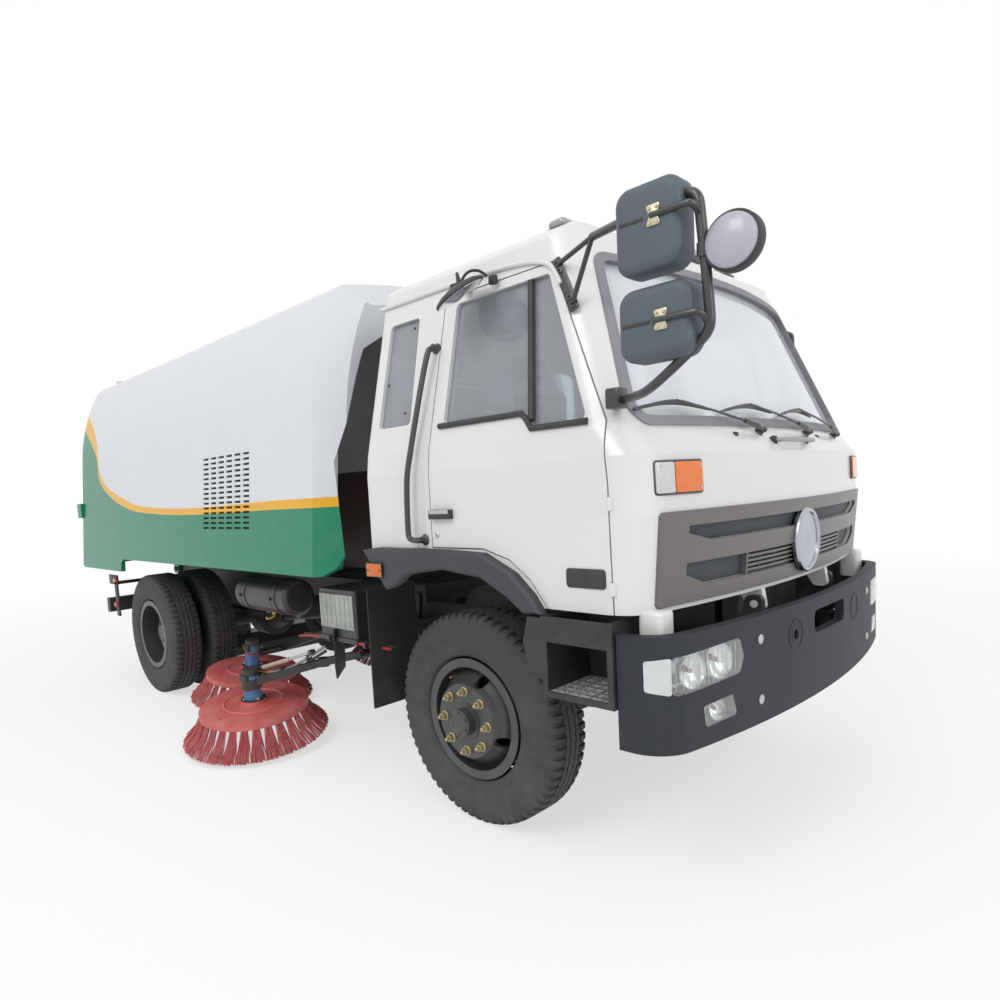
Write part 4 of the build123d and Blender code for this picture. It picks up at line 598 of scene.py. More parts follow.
DOOR_WINDOW = ((0.020, 1.900), (0.490, 1.900), (0.545, 1.835), (0.805, 1.835), (0.548, 2.445),
               (0.020, 2.445))
DOOR_SILL = ((0.0, 1.893), (0.485, 1.893), (0.515, 1.868), (0.545, 1.828), (0.81, 1.828))
DOOR_BAR = ((0.533, 1.865), (0.452, 2.44))
QUARTER_WINDOW = ((-0.455, 1.925), (-0.215, 1.925), (-0.235, 2.440), (-0.455, 2.440))
DRIP_RAIL = ((-0.545, 2.544), (0.10, 2.544), (0.283, 2.535), (0.421, 2.523), (0.524, 2.495),
             (0.578, 2.458), (0.618, 2.382))
for side, name in SIDES:
    outline = [(x, (z - BELT_Z) * (1 / math.cos(LEAN))) for x, z in DOOR_WINDOW]
    low, high = min(z for _, z in outline), max(z for _, z in outline)
    grown = [(x + (0.012 if x > 0.3 else -0.012), z + (0.012 if z > (low + high) / 2 else -0.012))
             for x, z in outline]
    grown[1] = (outline[1][0] - 0.008, outline[1][1] - 0.012)
    build("door_window_rubber_" + name, black_rubber, name + "_door",
          (plate(rounded(grown, 0.03), 0.007, 0.003, 0.017), upper_wall(0, BELT_Z, side, -0.002)),
          pipe(wall_line(DOOR_SILL, side, 0.006), 0.013, straight=True),
          pipe(wall_line(DOOR_BAR, side, -0.004), 0.014, straight=True))
    lock, handle = side_wall(-0.02, 1.408, side), side_wall(0, 1.501, side)
    build("door_lock_" + name, [bright_steel, black_rubber], name + "_door",
          (button(0.013, 0.004, 0.010, 0.006), lock),
          (block((-0.0015, -0.006, 0.004), (0.0015, 0.006, 0.0068)), lock, 1),
          # The dark block over the whole handle is painted shade of the handle's recess; the bright
          # steel block over its top half is the pull.
          (block((-0.046, -0.021, -0.001), (0.090, 0.021, 0.0290), 0.004), handle, 1),
          (block((-0.043, 0.002, 0.010), (0.087, 0.0205, 0.0305), 0.004), handle))
build("cab_corner_pieces", cab_paint, "root", *[
    (block((0.965, side * 1.085 - 0.050, 0.985), (1.060, side * 1.085 + 0.050, 1.136), 0.018, 3),
     FROM_AXLE) for side in (-1, 1)])
for side, name in SIDES:
    outline = [(x, (z - BELT_Z) / math.cos(LEAN)) for x, z in QUARTER_WINDOW]
    centre = Vector((sum(x for x, _ in outline) / 4, sum(z for _, z in outline) / 4))
    grown = [tuple(Vector(p) + (Vector(p) - centre).normalized() * 0.014) for p in outline]
    build("quarter_window_rubber_" + name, black_rubber, "cab",
          (plate(rounded(grown, 0.035), 0.005, 0.002, 0.015), upper_wall(0, BELT_Z, side, -0.002)),
          *[(screw(0.008), upper_wall(x, z, side))
            for x, z in ((-0.262, 2.392), (-0.415, 2.138), (-0.262, 1.985))])
    rail = [at(x, side * (BELT_Y - LEAN_IN * (z - BELT_Z) + 0.008), z) for x, z in DRIP_RAIL]
    piece("drip_rail_" + name, pipe(rail, 0.010), cab_paint, "cab")
    build("blank_plate_" + name, black_rubber, name + "_door",
          (plate(rounded(oblong(-0.088, -0.037, 0.088, 0.037), 0.014), 0.006, 0.002),
           side_wall(0.788, 1.250, side)))


# ---- windscreen, side glass and wipers ----
# Laminated glass in a grey rubber channel and toughened side panes. The three wipers are black
# pressed arms that turn on pivots under the screen, each with a jointed blade.
rubber_seal = finish("rubber_seal", (0.17, 0.17, 0.18), patch=(0.3, 0.3, 0.31), patch_scale=8,
                     dust=0.5, dust_top=3, dust_color=(0.38, 0.38, 0.39), roughness=0.6)
black_metal = finish("black_metal", (0.018, 0.018, 0.02), patch=(0.04, 0.04, 0.043),
                     patch_scale=10, dust=0.2, dust_top=2.9, roughness=0.35, grain=100,
                     grain_depth=0.1, Coat_Weight=0.3, Coat_Roughness=0.2)


def glass(name, color, roughness=0.02, clear=1.0):
    """Clear, tinted or hazy glass; clear is the share of light that goes through."""
    return finish(name, color, patch=[c * 0.97 for c in color], patch_amount=0.3, dust=0.02,
                  dust_top=3, roughness=roughness + 0.01, spread=0.02, grain=2, grain_depth=0.02,
                  IOR=1.45, Transmission_Weight=clear)


screen_glass = glass("screen_glass", (0.84, 0.875, 0.905), clear=0.40)
side_glass = glass("side_glass", (0.74, 0.79, 0.84), clear=0.78)
dress(rubber_seal, "windscreen_seal")
dress(screen_glass, "windscreen")
dress(side_glass, "cab_glass door_glass_right door_glass_left")
BOW = 0.130                          # how far the front bows back where it is SIDE_Y off the middle
SCREEN_X = 1.067                     # the screen's foot, in the middle
SCREEN_LEAN = 0.392                  # the screen leans back by so much a metre


def screen_normal(y):
    """The way the windscreen looks."""
    return Vector((1, 2 * BOW * y / SIDE_Y ** 2, SCREEN_LEAN)).normalized()


def on_screen(y, z, proud):
    """A point over the windscreen's outer surface."""
    x = SCREEN_X - SCREEN_LEAN * (z - BELT_Z) - BOW * (y / SIDE_Y) ** 2
    return at(x, y, z) + screen_normal(y) * proud


WIPER_PIVOT = ((0, -0.01), (0.020, -0.01), (0.020, 0.012), (0.013, 0.018), (0.013, 0.036),
               (0.009, 0.042), (0, 0.042))
WIPER_BARS = (                   # radius, sides, straight, points: past the pivot, height, proud
    (0.0095, 12, True, ((0, 1.775, 0.030), (-0.07, 1.789, 0.036), (-0.15, 1.806, 0.040))),
    (0.0048, 12, True, ((-0.15, 1.806, 0.040), (-0.35, 1.846, 0.038), (-0.545, 1.885, 0.030))),
    (0.004, 12, False, ((-0.06, 1.787, 0.047), (-0.14, 1.803, 0.047))),
    (0.006, 8, False, ((-0.765, 1.856, 0.008), (-0.655, 1.876, 0.008), (-0.545, 1.885, 0.008),
                       (-0.435, 1.880, 0.008), (-0.325, 1.866, 0.008))),
    (0.0055, 8, False, ((-0.70, 1.868, 0.013), (-0.62, 1.880, 0.024), (-0.545, 1.885, 0.028),
                        (-0.47, 1.882, 0.024), (-0.39, 1.874, 0.013))),
    (0.0045, 8, False, ((-0.745, 1.861, 0.009), (-0.7, 1.8705, 0.018), (-0.655, 1.876, 0.009))),
    (0.0045, 8, False, ((-0.435, 1.880, 0.009), (-0.39, 1.877, 0.018), (-0.345, 1.870, 0.009))))
wipers = []
for y in (-0.310, 0.210, 0.730):
    wipers.append((turned(WIPER_PIVOT, 20),
                   Matrix.Translation(on_screen(y, 1.775, 0.0)) @ facing(screen_normal(y))))
    wipers += [pipe([on_screen(y + dy, z, proud) for dy, z, proud in points], radius, sides,
                    straight=straight) for radius, sides, straight, points in WIPER_BARS]
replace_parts(build("wiper_set", black_metal, "cab", *wipers), "wipers")
build("washer_nozzles", black_rubber, "cab", *[
    (block((-0.012, -0.020, -0.004), (0.012, 0.020, 0.010), 0.004),
     Matrix.Translation(on_screen(y, 1.762, 0.002)) @ facing((1, 0, SCREEN_LEAN)) @
     Matrix.Rotation(math.pi / 2, 4, "Z")) for y in (-0.51, 0.365)])


# ---- grille, louvre backing and round badge ----
# A grey metallic panel moulded in plastic, with two long recesses, four louvre bars and a plain
# chromed disc; a near-black plate at the back of the recesses is painted shade.
grille_paint = finish("grille_paint", (0.130, 0.120, 0.115), patch=(0.16, 0.149, 0.142),
                      patch_scale=5, dust=0.15, dust_top=2, roughness=0.42, grain=500,
                      grain_depth=0.15, Metallic=0.35, Coat_Weight=0.2, Coat_Roughness=0.3)
slot_painted_shade = finish("slot_painted_shade", (0.020, 0.027, 0.038), dust=0.2, dust_top=2.5, roughness=0.55)
badge_chrome = finish("badge_chrome", (0.45, 0.47, 0.52), patch=(0.3, 0.32, 0.38), patch_scale=10,
                      dust=0.05, dust_top=3, roughness=0.2, grain_depth=0.02, Metallic=1.0)
dress(grille_paint, "grille_panel")


NOSE_FOOT, NOSE_BEND = (1.120, 1.120), (1.150, 1.48)      # x and z of the skin's two breaks


def nose_x(y, z):
    """How far forward the nose's skin lies: out to the bend, then slightly back."""
    if z < NOSE_BEND[1]:
        level = NOSE_FOOT[0] + (z - NOSE_FOOT[1]) / 12
    else:
        level = NOSE_BEND[0] - (z - NOSE_BEND[1]) * 0.0326
    return level - BOW * (y / SIDE_Y) ** 2


def front_place(x, y, z, slope, proud):
    """A place over a bowed front: local X across, local Y up, local Z forward."""
    n, across = Vector((1, slope, 0)).normalized(), Vector((-slope, 1, 0)).normalized()
    point = at(x, y, z) + n * proud
    return Matrix(((across.x, 0, n.x, point.x), (across.y, 0, n.y, point.y), (0, 1, 0, point.z),
                   (0, 0, 0, 1)))


def on_nose(y, z, proud):
    """A place over the nose."""
    return front_place(nose_x(y, z), y, z, 2 * BOW * y / SIDE_Y ** 2, proud)


def laid(part, place, cuts):
    """Slices a part drawn in across, up and forward at its cuts across and lays it on a front."""
    for cut in cuts:
        bmesh.ops.bisect_plane(part, geom=part.verts[:] + part.edges[:] + part.faces[:],
                               plane_co=(cut, 0, 0), plane_no=(1, 0, 0), dist=1e-5)
    for v in part.verts:
        v.co = place(*v.co)
    return part


def bowed(part, proud):
    """Lays a part on the nose's bow."""
    return laid(part, lambda y, z, out: at(nose_x(y, z) + proud + out, y, z),
                [i * 0.1 + 0.004 for i in range(-10, 11)])


GRILLE_SLOTS = (
    ((-0.940, 1.428), (0.940, 1.428), (0.940, 1.400), (0.800, 1.366), (-0.800, 1.366),
     (-0.940, 1.400)),
    ((-0.945, 1.289), (0.945, 1.289), (0.945, 1.245), (0.823, 1.200), (-0.823, 1.200),
     (-0.945, 1.245)))
# A near-black plate at the back of the two slots is painted shade in the recesses.
build("grille_slot_shade", slot_painted_shade, "cab", *[
    bowed(plate(outline, 0.004), -0.0185) for outline in GRILLE_SLOTS])
LOUVRE_HALF = 0.0045                 # half a bar's height
POST_HALF = 0.004
louvres = []
for z in (1.214, 1.233, 1.252, 1.271):
    for side in (-1, 1):
        low, high = sorted((side * 0.165, side * 0.540))
        louvres.append(bowed(plate(oblong(low, z - LOUVRE_HALF, high, z + LOUVRE_HALF), 0.010,
                                   0.002), -0.006))
for side in (-1, 1):
    for y in (0.165, 0.29, 0.415, 0.540):
        louvres.append(bowed(plate(oblong(side * y - POST_HALF, 1.205, side * y + POST_HALF,
                                          1.280), 0.006), -0.010))
build("grille_louvres", grille_paint, "cab", *louvres)
build("plain_round_badge", badge_chrome, "cab",
      (turned(((0, 0), (0.146, 0), (0.146, 0.014), (0.141, 0.021), (0.133, 0.023), (0.127, 0.020),
               (0.123, 0.013), (0.060, 0.013), (0, 0.014)), 72), on_nose(0, 1.294, 0.008)))
build("grille_screws", black_rubber, "cab", *[
    (screw(0.008), on_nose(y, z, -0.015)) for y in (-0.915, 0.915) for z in (1.412, 1.262)])


# ---- bumper, headlamps and fog lamps ----
# One thick moulded plastic bumper bolted to the frame; the lamps sit in pockets behind clear ribbed
# lenses, with pressed reflectors in two bays.
bumper_plastic = finish("bumper_plastic", (0.020, 0.023, 0.029), patch=(0.032, 0.035, 0.042),
                        patch_scale=4, dust=0.06, dust_top=1.2, roughness=0.58, grain=420,
                        grain_depth=0.35, Specular_IOR_Level=0.3)
lamp_lens = glass("lamp_lens", (0.92, 0.94, 0.94), 0.06, clear=0.9)
reflector = finish("reflector", (0.85, 0.86, 0.86), patch=(0.6, 0.61, 0.62), patch_scale=18,
                   dust=0.05, dust_top=2, roughness=0.16, grain=60, grain_depth=0.3, Metallic=1.0)
bulb_red = finish("bulb_red", (0.35, 0.06, 0.03), dust=0, roughness=0.2, Coat_Weight=0.5)
dress(bumper_plastic, "bumper")
dress(lamp_lens, "headlamps")
BUMPER_X, BUMPER_BOW, BUMPER_Y = 1.250, 0.140, 1.225     # foremost, bow, half width
CORNER_X, CORNER_Y, CORNER_RADIUS = 0.9767, 1.060, 0.165
CORNER_START = 1.092


def bumper_x(y):
    """How far forward the bumper's face lies: a shallow bow with a round corner."""
    if abs(y) < CORNER_START:
        return BUMPER_X - BUMPER_BOW * (y / BUMPER_Y) ** 2
    return CORNER_X + math.sqrt(CORNER_RADIUS ** 2 - (abs(y) - CORNER_Y) ** 2)


def on_bumper(y, z, proud):
    """A place over the bumper."""
    slope = (bumper_x(y - 0.004) - bumper_x(y + 0.004)) / 0.008    # over 8 mm
    return front_place(bumper_x(y), y, z, slope, proud)


def wrapped(part, proud):
    """Lays a part on the bumper's face."""
    return laid(part, lambda y, z, out: on_bumper(y, z, proud + out).translation,
                [i * 0.05 + 0.003 for i in range(-24, 25)])


build("bumper_bolts", bright_steel, "root", *[
    (button(0.019, 0.003, 0.011, 0.007), on_bumper(y, z, 0.0))
    for y in (-0.660, 0.660) for z in (0.968, 0.730)])
RING = ((0.058, -0.004), (0.058, 0.0015), (0.062, 0.0025), (0.066, 0.0015), (0.066, -0.004),
        (0.058, -0.004))
build("bumper_mouldings", bumper_plastic, "root",
      *[(turned(RING, 40), on_bumper(y, 0.935, 0.0)) for y in (-0.372, 0.372)],
      wrapped(plate(rounded(((-0.24, 0.66), (0.24, 0.66), (0.28, 0.80), (-0.28, 0.80)), 0.03),
                    0.003, 0.0015, 0.006), -0.001))
LAMP_OUTLINES = (                # the headlamp's and the fog lamp's, with the corners' radius
    (((-1.165, 0.845), (-1.165, 0.985), (-0.800, 1.000), (-0.775, 0.925), (-0.800, 0.865)), 0.026),
    (((-1.010, 0.705), (-1.020, 0.785), (-0.850, 0.795), (-0.825, 0.712)), 0.013))
BOWLS = ((0.905, 0.930, 0.062), (1.055, 0.918, 0.058), (0.925, 0.750, 0.036))
RIB_HALF = 0.0018
WING_START = 39.5                    # the lamp's wing runs round the bumper's corner from here
lenses, bowls = [], []
for side in (-1, 1):
    for outline, radius in LAMP_OUTLINES:
        edge = rounded([(-side * y, z) for y, z in outline[::-side]], radius)
        lenses.append(wrapped(plate(edge, 0.005, 0.002), -0.003))
        bowls += [wrapped(plate(edge, 0.046, 0.0, 0.004), -0.049),
                  wrapped(plate(edge, 0.003), -0.052)]
    for y, z, r in BOWLS:
        place = on_bumper(side * y, z, -0.047) @ Matrix.Rotation(side * 0.15, 4, "Y")
        bowls += [
            (turned(((r * 0.18, 0.002), (r * 0.5, 0.008), (r * 0.8, 0.020), (r, 0.036),
                     (r * 1.03, 0.036), (r * 0.83, 0.017), (r * 0.5, 0.004)), 32), place),
            (turned(((0, 0), (0.008, 0.0), (0.008, 0.022), (0.005, 0.026), (0, 0.027)), 12),
             place, 1)]
    for i in range(13):
        y = side * (0.825 + i * 0.0265)
        low = 0.872 if abs(y) < 0.86 else 0.862
        lenses.append(wrapped(plate(oblong(y - RIB_HALF, low, y + RIB_HALF, 0.984), 0.0025),
                              -0.0055))
for side in (-1, 1):
    for depth, proud, into in ((0.0010, 0.0008, bowls), (0.0030, 0.0020, lenses)):
        def round_corner(along, z, out):
            angle = math.radians(WING_START) + along / CORNER_RADIUS
            reach = CORNER_RADIUS + proud + out
            return at(CORNER_X + reach * math.cos(angle),
                      side * (CORNER_Y + reach * math.sin(angle)), z)
        into.append(laid(plate(rounded(((-0.006, 0.850), (0.088, 0.866), (0.088, 0.975),
                                        (-0.006, 0.985)), 0.010), depth), round_corner,
                         [i * 0.0101 for i in range(1, 9)]))
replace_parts(build("headlamp_lenses", lamp_lens, "root", *lenses), "headlamps")
build("headlamp_reflectors", [reflector, bulb_red], "root", *bowls)


# ---- nose lamps and roof lamps ----
# Turn signals in the nose: a clear third outboard and an amber part inboard in one dark frame with
# corner screws. Five marker lamps on the roof are smoky domes on dark bases.
amber_lens = finish("amber_lens", (0.72, 0.16, 0.006), patch=(0.60, 0.09, 0.003), patch_scale=30,
                    dust=0.1, dust_top=3, roughness=0.15, grain=90, grain_depth=0.15,
                    Coat_Weight=0.6, Coat_Roughness=0.05)
clear_lens = finish("clear_lens", (0.55, 0.54, 0.55), patch=(0.42, 0.41, 0.43), patch_scale=40,
                    dust=0.1, dust_top=3, roughness=0.12, grain=90, grain_depth=0.2,
                    Coat_Weight=0.7, Coat_Roughness=0.04)
lamp_frame = finish("lamp_frame", (0.05, 0.035, 0.035), dust=0.2, dust_top=3, roughness=0.35)
smoke_lens = finish("smoke_lens", (0.30, 0.31, 0.31), patch=(0.2, 0.2, 0.21), patch_scale=30,
                    dust=0.15, dust_top=4, roughness=0.15, Coat_Weight=0.6, Coat_Roughness=0.05)
NOSE_CORNER, NOSE_CORNER_Y = 0.150, 1.040                # radius, and where the corners start


def corner_x(y, z):
    """The nose with its rounded corner."""
    past = max(0.0, abs(y) - NOSE_CORNER_Y)
    return nose_x(y, z) - (NOSE_CORNER - math.sqrt(max(0.0, NOSE_CORNER ** 2 - past ** 2)))


def round_nose(part, proud):
    """Lays a part on the nose and its corner."""
    def place(y, z, out):
        slope = (corner_x(y - 0.003, z) - corner_x(y + 0.003, z)) / 0.006
        return at(corner_x(y, z), y, z) + Vector((1, slope, 0)).normalized() * (proud + out)
    return laid(part, place, [i * 0.025 + 0.003 for i in range(-48, 49)])


LAMP_PARTS = (                   # inner and outer end, low, high, corner, bevel, proud, slot
    (0.850, 1.100, 1.545, 1.670, 0.012, 0.002, 0.001, 2),
    (0.857, 1.008, 1.552, 1.663, 0.008, 0.003, 0.006, 0),
    (1.012, 1.093, 1.552, 1.663, 0.008, 0.003, 0.006, 1))
lamps = []
for side in (-1, 1):
    for inner, outer, low, high, corner, bevel, proud, slot in LAMP_PARTS:
        a, b = sorted((side * inner, side * outer))
        lamps.append((round_nose(plate(rounded(oblong(a, low, b, high), corner), 0.008, bevel),
                                 proud), None, slot))
    for y in (0.872, 1.076):
        for z in (1.567, 1.648):
            head = [(side * y + 0.005 * math.cos(k), z + 0.005 * math.sin(k))
                    for k in (0, 1.05, 2.09, 3.14, 4.19, 5.24)]
            lamps.append((round_nose(plate(head, 0.002), 0.0135), None, 3))
ROOF_LAMPS = ((0.476, 0.830), (0.476, -0.830), (0.573, 0.450), (0.573, -0.450), (0.610, 0.0))
ROOF_Z = 2.660
for x, y in ROOF_LAMPS:
    foot = set_at(x, y, ROOF_Z)
    lamps += [(block((-0.050, -0.050, -0.02), (0.050, 0.050, 0.014), 0.008, 3), foot, 2),
              (block((-0.044, -0.044, 0.010), (0.044, 0.044, 0.052), 0.020, 5), foot, 4)]
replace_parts(build("cab_lamp_set", [amber_lens, clear_lens, lamp_frame, bright_steel, smoke_lens],
                  "cab", *lamps), "cab_lamps")


# ---- wheel arch flares, mudflaps and steps ----
# Grained dark plastic arches screwed to the cab, thin rubber flaps behind the front wheels, and
# pressed steel steps with a galvanised mesh tread in a black frame.
flare_plastic = finish("flare_plastic", (0.030, 0.032, 0.038), patch=(0.045, 0.048, 0.055),
                       patch_scale=5, dust=0.12, dust_top=1.6, roughness=0.55, grain=420,
                       grain_depth=0.35)
flap_rubber = finish("flap_rubber", (0.012, 0.012, 0.012), dust_top=0.9, roughness=0.7, grain=90,
                     grain_depth=0.3)
galvanised = finish("galvanised", (0.60, 0.61, 0.62), patch=(0.42, 0.425, 0.43), patch_scale=30,
                    patch_amount=0.8, dust_top=1.4, roughness=0.42, grain=300, grain_depth=0.3,
                    Metallic=0.4)
dress(flare_plastic, "fender_flares")
dress(flap_rubber, "mudflaps")
dress(chassis_paint, "steps")
for side, name in SIDES:
    build("side_marker_" + name, [amber_lens, black_rubber], "cab",
          (plate(rounded(oblong(-0.500, 1.200, -0.375, 1.270), 0.010), 0.014, 0.004),
           side_wall(0, 0, side, FLARE_Y)),
          *[(screw(0.005), side_wall(x, 1.235, side, 1.252), 1) for x in (-0.486, -0.389)])
    tread = set_at(0, side * 1.095, 0.800)
    across = [0.612 + i * (0.300 / 8) for i in range(9)]         # the mesh's bars, by place
    along = [-0.130 + i * (0.260 / 16) for i in range(17)]
    build("step_mesh_" + name, galvanised, "root",
          *[(block((x - 0.0025, -0.135, -0.010), (x + 0.0025, 0.135, 0.006)), tread)
            for x in across],
          *[(block((0.610, y - 0.002, -0.006), (0.914, y + 0.002, 0.005)), tread) for y in along])
    build("step_panel_" + name, chassis_paint, "root",
          (block((0.600, -0.006, 0), (0.920, 0.006, 0.095), 0.003), set_at(0, side * 1.232, 0.998)),
          *[(screw(0.010, 0.006), side_wall(x, 1.045, side, FLARE_Y)) for x in (0.66, 0.86)])
ARCH_SCREWS = ((-0.420, 1.306), (-0.10, 1.300), (0.22, 1.292), (0.40, 1.235), (0.505, 1.150))
build("arch_screws", black_rubber, "cab", *[
    (screw(0.008), side_wall(x, z, side, FLARE_Y)) for side in (-1, 1) for x, z in ARCH_SCREWS])


# ---- mirrors and grab handles ----
# Black steel tube arms carry moulded mirror heads in zinc plated clamps; a round wide-angle mirror
# hangs at the outer end. The grab rails are bent tube on pressed feet.
mirror_plastic = finish("mirror_plastic", (0.062, 0.078, 0.098), patch=(0.085, 0.10, 0.12),
                        patch_scale=8, dust=0.25, dust_top=4, dust_color=(0.15, 0.17, 0.19),
                        roughness=0.5, grain=450, grain_depth=0.4)
mirror_glass = finish("mirror_glass", (0.75, 0.76, 0.78), dust=0.04, dust_top=4, roughness=0.06,
                      spread=0.02, grain_depth=0.01, Metallic=1.0)
bright_zinc = finish("bright_zinc", (0.62, 0.57, 0.42), patch=(0.4, 0.36, 0.26), patch_scale=50,
                     dust=0.15, dust_top=4, roughness=0.35, Metallic=0.85)
pale_back = finish("pale_back", (0.40, 0.38, 0.44), patch=(0.34, 0.32, 0.38), patch_scale=6,
                   dust=0.2, dust_top=4, roughness=0.3, Coat_Weight=0.3, Coat_Roughness=0.1)
dress(mirror_plastic, "mirror_head_left")
dress(black_metal, "mirror_arm_left")
HEADS = (                        # the two heads' box in X and Z, and their clamp's height
    (1.085, 1.304, 2.220, 2.480, 2.372), (1.087, 1.331, 1.963, 2.182, 2.072))
CLAMP = ((-0.024, -0.030), (0.024, -0.030), (0.013, 0), (0.024, 0.030), (-0.024, 0.030),
         (-0.013, 0))
INWARD = Matrix(((1, 0, 0, FRONT_AXLE_X), (0, 0, 1, -1.3045), (0, 1, 0, 0), (0, 0, 0, 1)))
clamps, glasses, grooves, heads = [], [], [], []
for x1, x2, z1, z2, z in HEADS:
    head = plate(rounded(oblong(x1, z1, x2, z2), 0.050, 8), 0.090)
    rim = [e for e in head.edges if e.verts[0].co.z > 0.08 and e.verts[1].co.z > 0.08]
    bmesh.ops.bevel(head, geom=rim, offset=0.030, segments=6, profile=0.5, affect="EDGES",
                    material=-1, clamp_overlap=True)
    heads.append((head, side_wall(0, 0, -1, 1.305)))
    x = (x1 + x2) / 2 + 0.030
    clamps.append((plate(rounded(CLAMP, 0.005, 2), 0.006, 0.0015), side_wall(x, z, -1, 1.394)))
    clamps += [(hexagon(0.006, 0.005), side_wall(x + dx, z + dz, -1, 1.400))
               for dz in (0.021, -0.021) for dx in (-0.012, 0.012)]
    # Black strips along the heads' grooves are painted shade in the grooves.
    grooves += [(block((low, -0.006, 0), (high, 0.006, 0.004), 0.002), side_wall(x, z, -1, 1.393))
                for low, high in ((x1 - x + 0.022, -0.036), (0.036, x2 - x - 0.022))]
    glasses.append((plate(rounded(oblong(x1 + 0.012, z1 + 0.012, x2 - 0.012, z2 - 0.012), 0.03),
                          0.003, 0.001), INWARD))
glasses.append((turned(((0, 0), (0.070, 0), (0.070, 0.002), (0.035, 0.006), (0, 0.007)), 40),
                set_at(1.440, -1.3255, 2.245, (0, 1, 0))))
build("mirror_clamps", bright_zinc, "cab", *clamps)
build("mirror_glasses", mirror_glass, "cab", *glasses)
build("mirror_groove_shades", black_rubber, "cab", *grooves)
disc = set_at(1.440, -1.328, 2.245, (0, -1, 0))
build(
    "round_mirror", [pale_back, black_rubber], "cab",
    (turned(((0.0, 0.0), (0.079, 0.0), (0.0815, 0.004), (0.0815, 0.034), (0.079, 0.038),
             (0.074, 0.038)), 64), disc, 1),
    (turned(((0.0745, 0.034), (0.072, 0.044), (0.060, 0.054), (0.040, 0.062), (0.020, 0.065),
             (0, 0.066)), 64), disc))
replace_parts(build("mirror_housings", mirror_plastic, "cab", *heads, angle=50), "mirror_heads")
APEX = (0.800, -1.085, 2.498)        # where the mirror arm's two stays meet
low, high = (upper_wall(x, z, -1).translation for x, z in ((0.691, 2.279), (0.584, 2.475)))
along = low - high
outward = Vector((0, -math.cos(LEAN), math.sin(LEAN)))
turn = Matrix((along.normalized(), outward.cross(along.normalized()), outward))
middle = Matrix.Translation(high.lerp(low, 0.5)) @ turn.transposed().to_4x4()
half = along.length / 2 + 0.02
MIRROR_ARM = (APEX, (1.00, -1.19, 2.47), (1.26, -1.34, 2.425), (1.340, -1.35, 2.415),
              (1.348, -1.35, 2.33), (1.358, -1.35, 2.21), (1.368, -1.35, 2.08),
              (1.368, -1.35, 2.02), (1.31, -1.335, 1.985), (1.20, -1.29, 1.932),
              (1.10, -1.245, 1.892), (1.02, -1.19, 1.888), (0.91, -1.12, 1.888))
WASHER = ((0.005, 0.005), (0.016, 0.005), (0.016, 0.009), (0.011, 0.011), (0.005, 0.011),
          (0.005, 0.005))
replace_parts(build(
    "mirror_tubes", black_metal, "cab",
    *[tube((APEX, end), 0.010, straight=True)
      for end in ((0.598, -1.022, 2.468), (0.692, -1.072, 2.290))],
    (plate(rounded(oblong(-half, -0.022, half, 0.022), 0.012), 0.006, 0.002), middle),
    *[(turned(WASHER, 18), middle @ Matrix.Translation((share * half, 0, 0)))
      for share in (-0.80, -0.52, 0.52, 0.80)],
    tube(MIRROR_ARM, 0.0155, 16, 12),
    *[tube(((1.215, -1.398, z), (1.30, -1.398, z), (x + 0.01, -1.392, z), (x, -1.352, z - 0.03)),
           0.0095) for x, z in ((1.343, 2.372), (1.360, 2.072))],
    tube(((1.362, -1.35, 2.245), (1.362, -1.30, 2.25), (1.43, -1.31, 2.248)), 0.009),
    (turned(((0.016, -0.020), (0.022, -0.020), (0.022, 0.020), (0.016, 0.020), (0.016, -0.020)),
            20), set_at(1.356, -1.35, 2.245)),
    (block((0.890, -1.180, 1.860), (0.948, -1.112, 1.933), 0.008), FROM_AXLE)), "mirror_arms")
SIDE_RAIL = ((-0.085, 1.060, 2.260), (-0.085, 1.100, 2.260), (-0.092, 1.125, 2.245),
             (-0.147, 1.236, 1.720), (-0.158, 1.240, 1.640), (-0.169, 1.240, 1.425),
             (-0.162, 1.240, 1.392), (-0.125, 1.238, 1.385), (-0.105, 1.232, 1.385),
             (-0.105, 1.185, 1.385))
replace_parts(build("side_grab_rails", black_metal, "cab", *[
    tube([(x, side * y, z) for x, y, z in SIDE_RAIL], 0.0135, 16, 10) for side in (-1, 1)]),
    "grab_handles")
rail_grey = finish("rail_grey", (0.30, 0.30, 0.31), patch=(0.22, 0.22, 0.23), patch_scale=12,
                   dust=0.2, dust_top=3, roughness=0.4)
FRONT_RAIL = ((1.095, -0.238), (1.138, -0.240), (1.150, -0.225), (1.151, -0.12), (1.151, 0.0),
              (1.150, 0.105), (1.138, 0.120), (1.095, 0.118))
FRONT_RAIL_Z = 1.741
build("front_grab_rail", [rail_grey, black_rubber], "cab",
      tube([(x, y, FRONT_RAIL_Z) for x, y in FRONT_RAIL], 0.0105, 12, 8),
      *[(turned(((0, -0.01), (0.020, -0.01), (0.020, 0.006), (0.014, 0.016), (0, 0.016)), 18),
         set_at(1.105, y, FRONT_RAIL_Z, (1, 0, 0.4)), 1) for y in (-0.238, 0.118)])
FOOT = ((0, -0.004), (0.026, -0.004), (0.026, 0.004), (0.017, 0.014), (0.015, 0.030), (0, 0.030))
FEET = (                         # x, y, z, how far the wall leans
    (-0.085, BELT_Y - LEAN_IN * (2.260 - BELT_Z), 2.260, LEAN_IN), (-0.105, SIDE_Y, 1.385, 0))
build("grab_rail_feet", black_metal, "cab", *[
    (turned(FOOT, 20), set_at(x, side * y, z, (0, side, lean)))
    for side in (-1, 1) for x, y, z, lean in FEET])


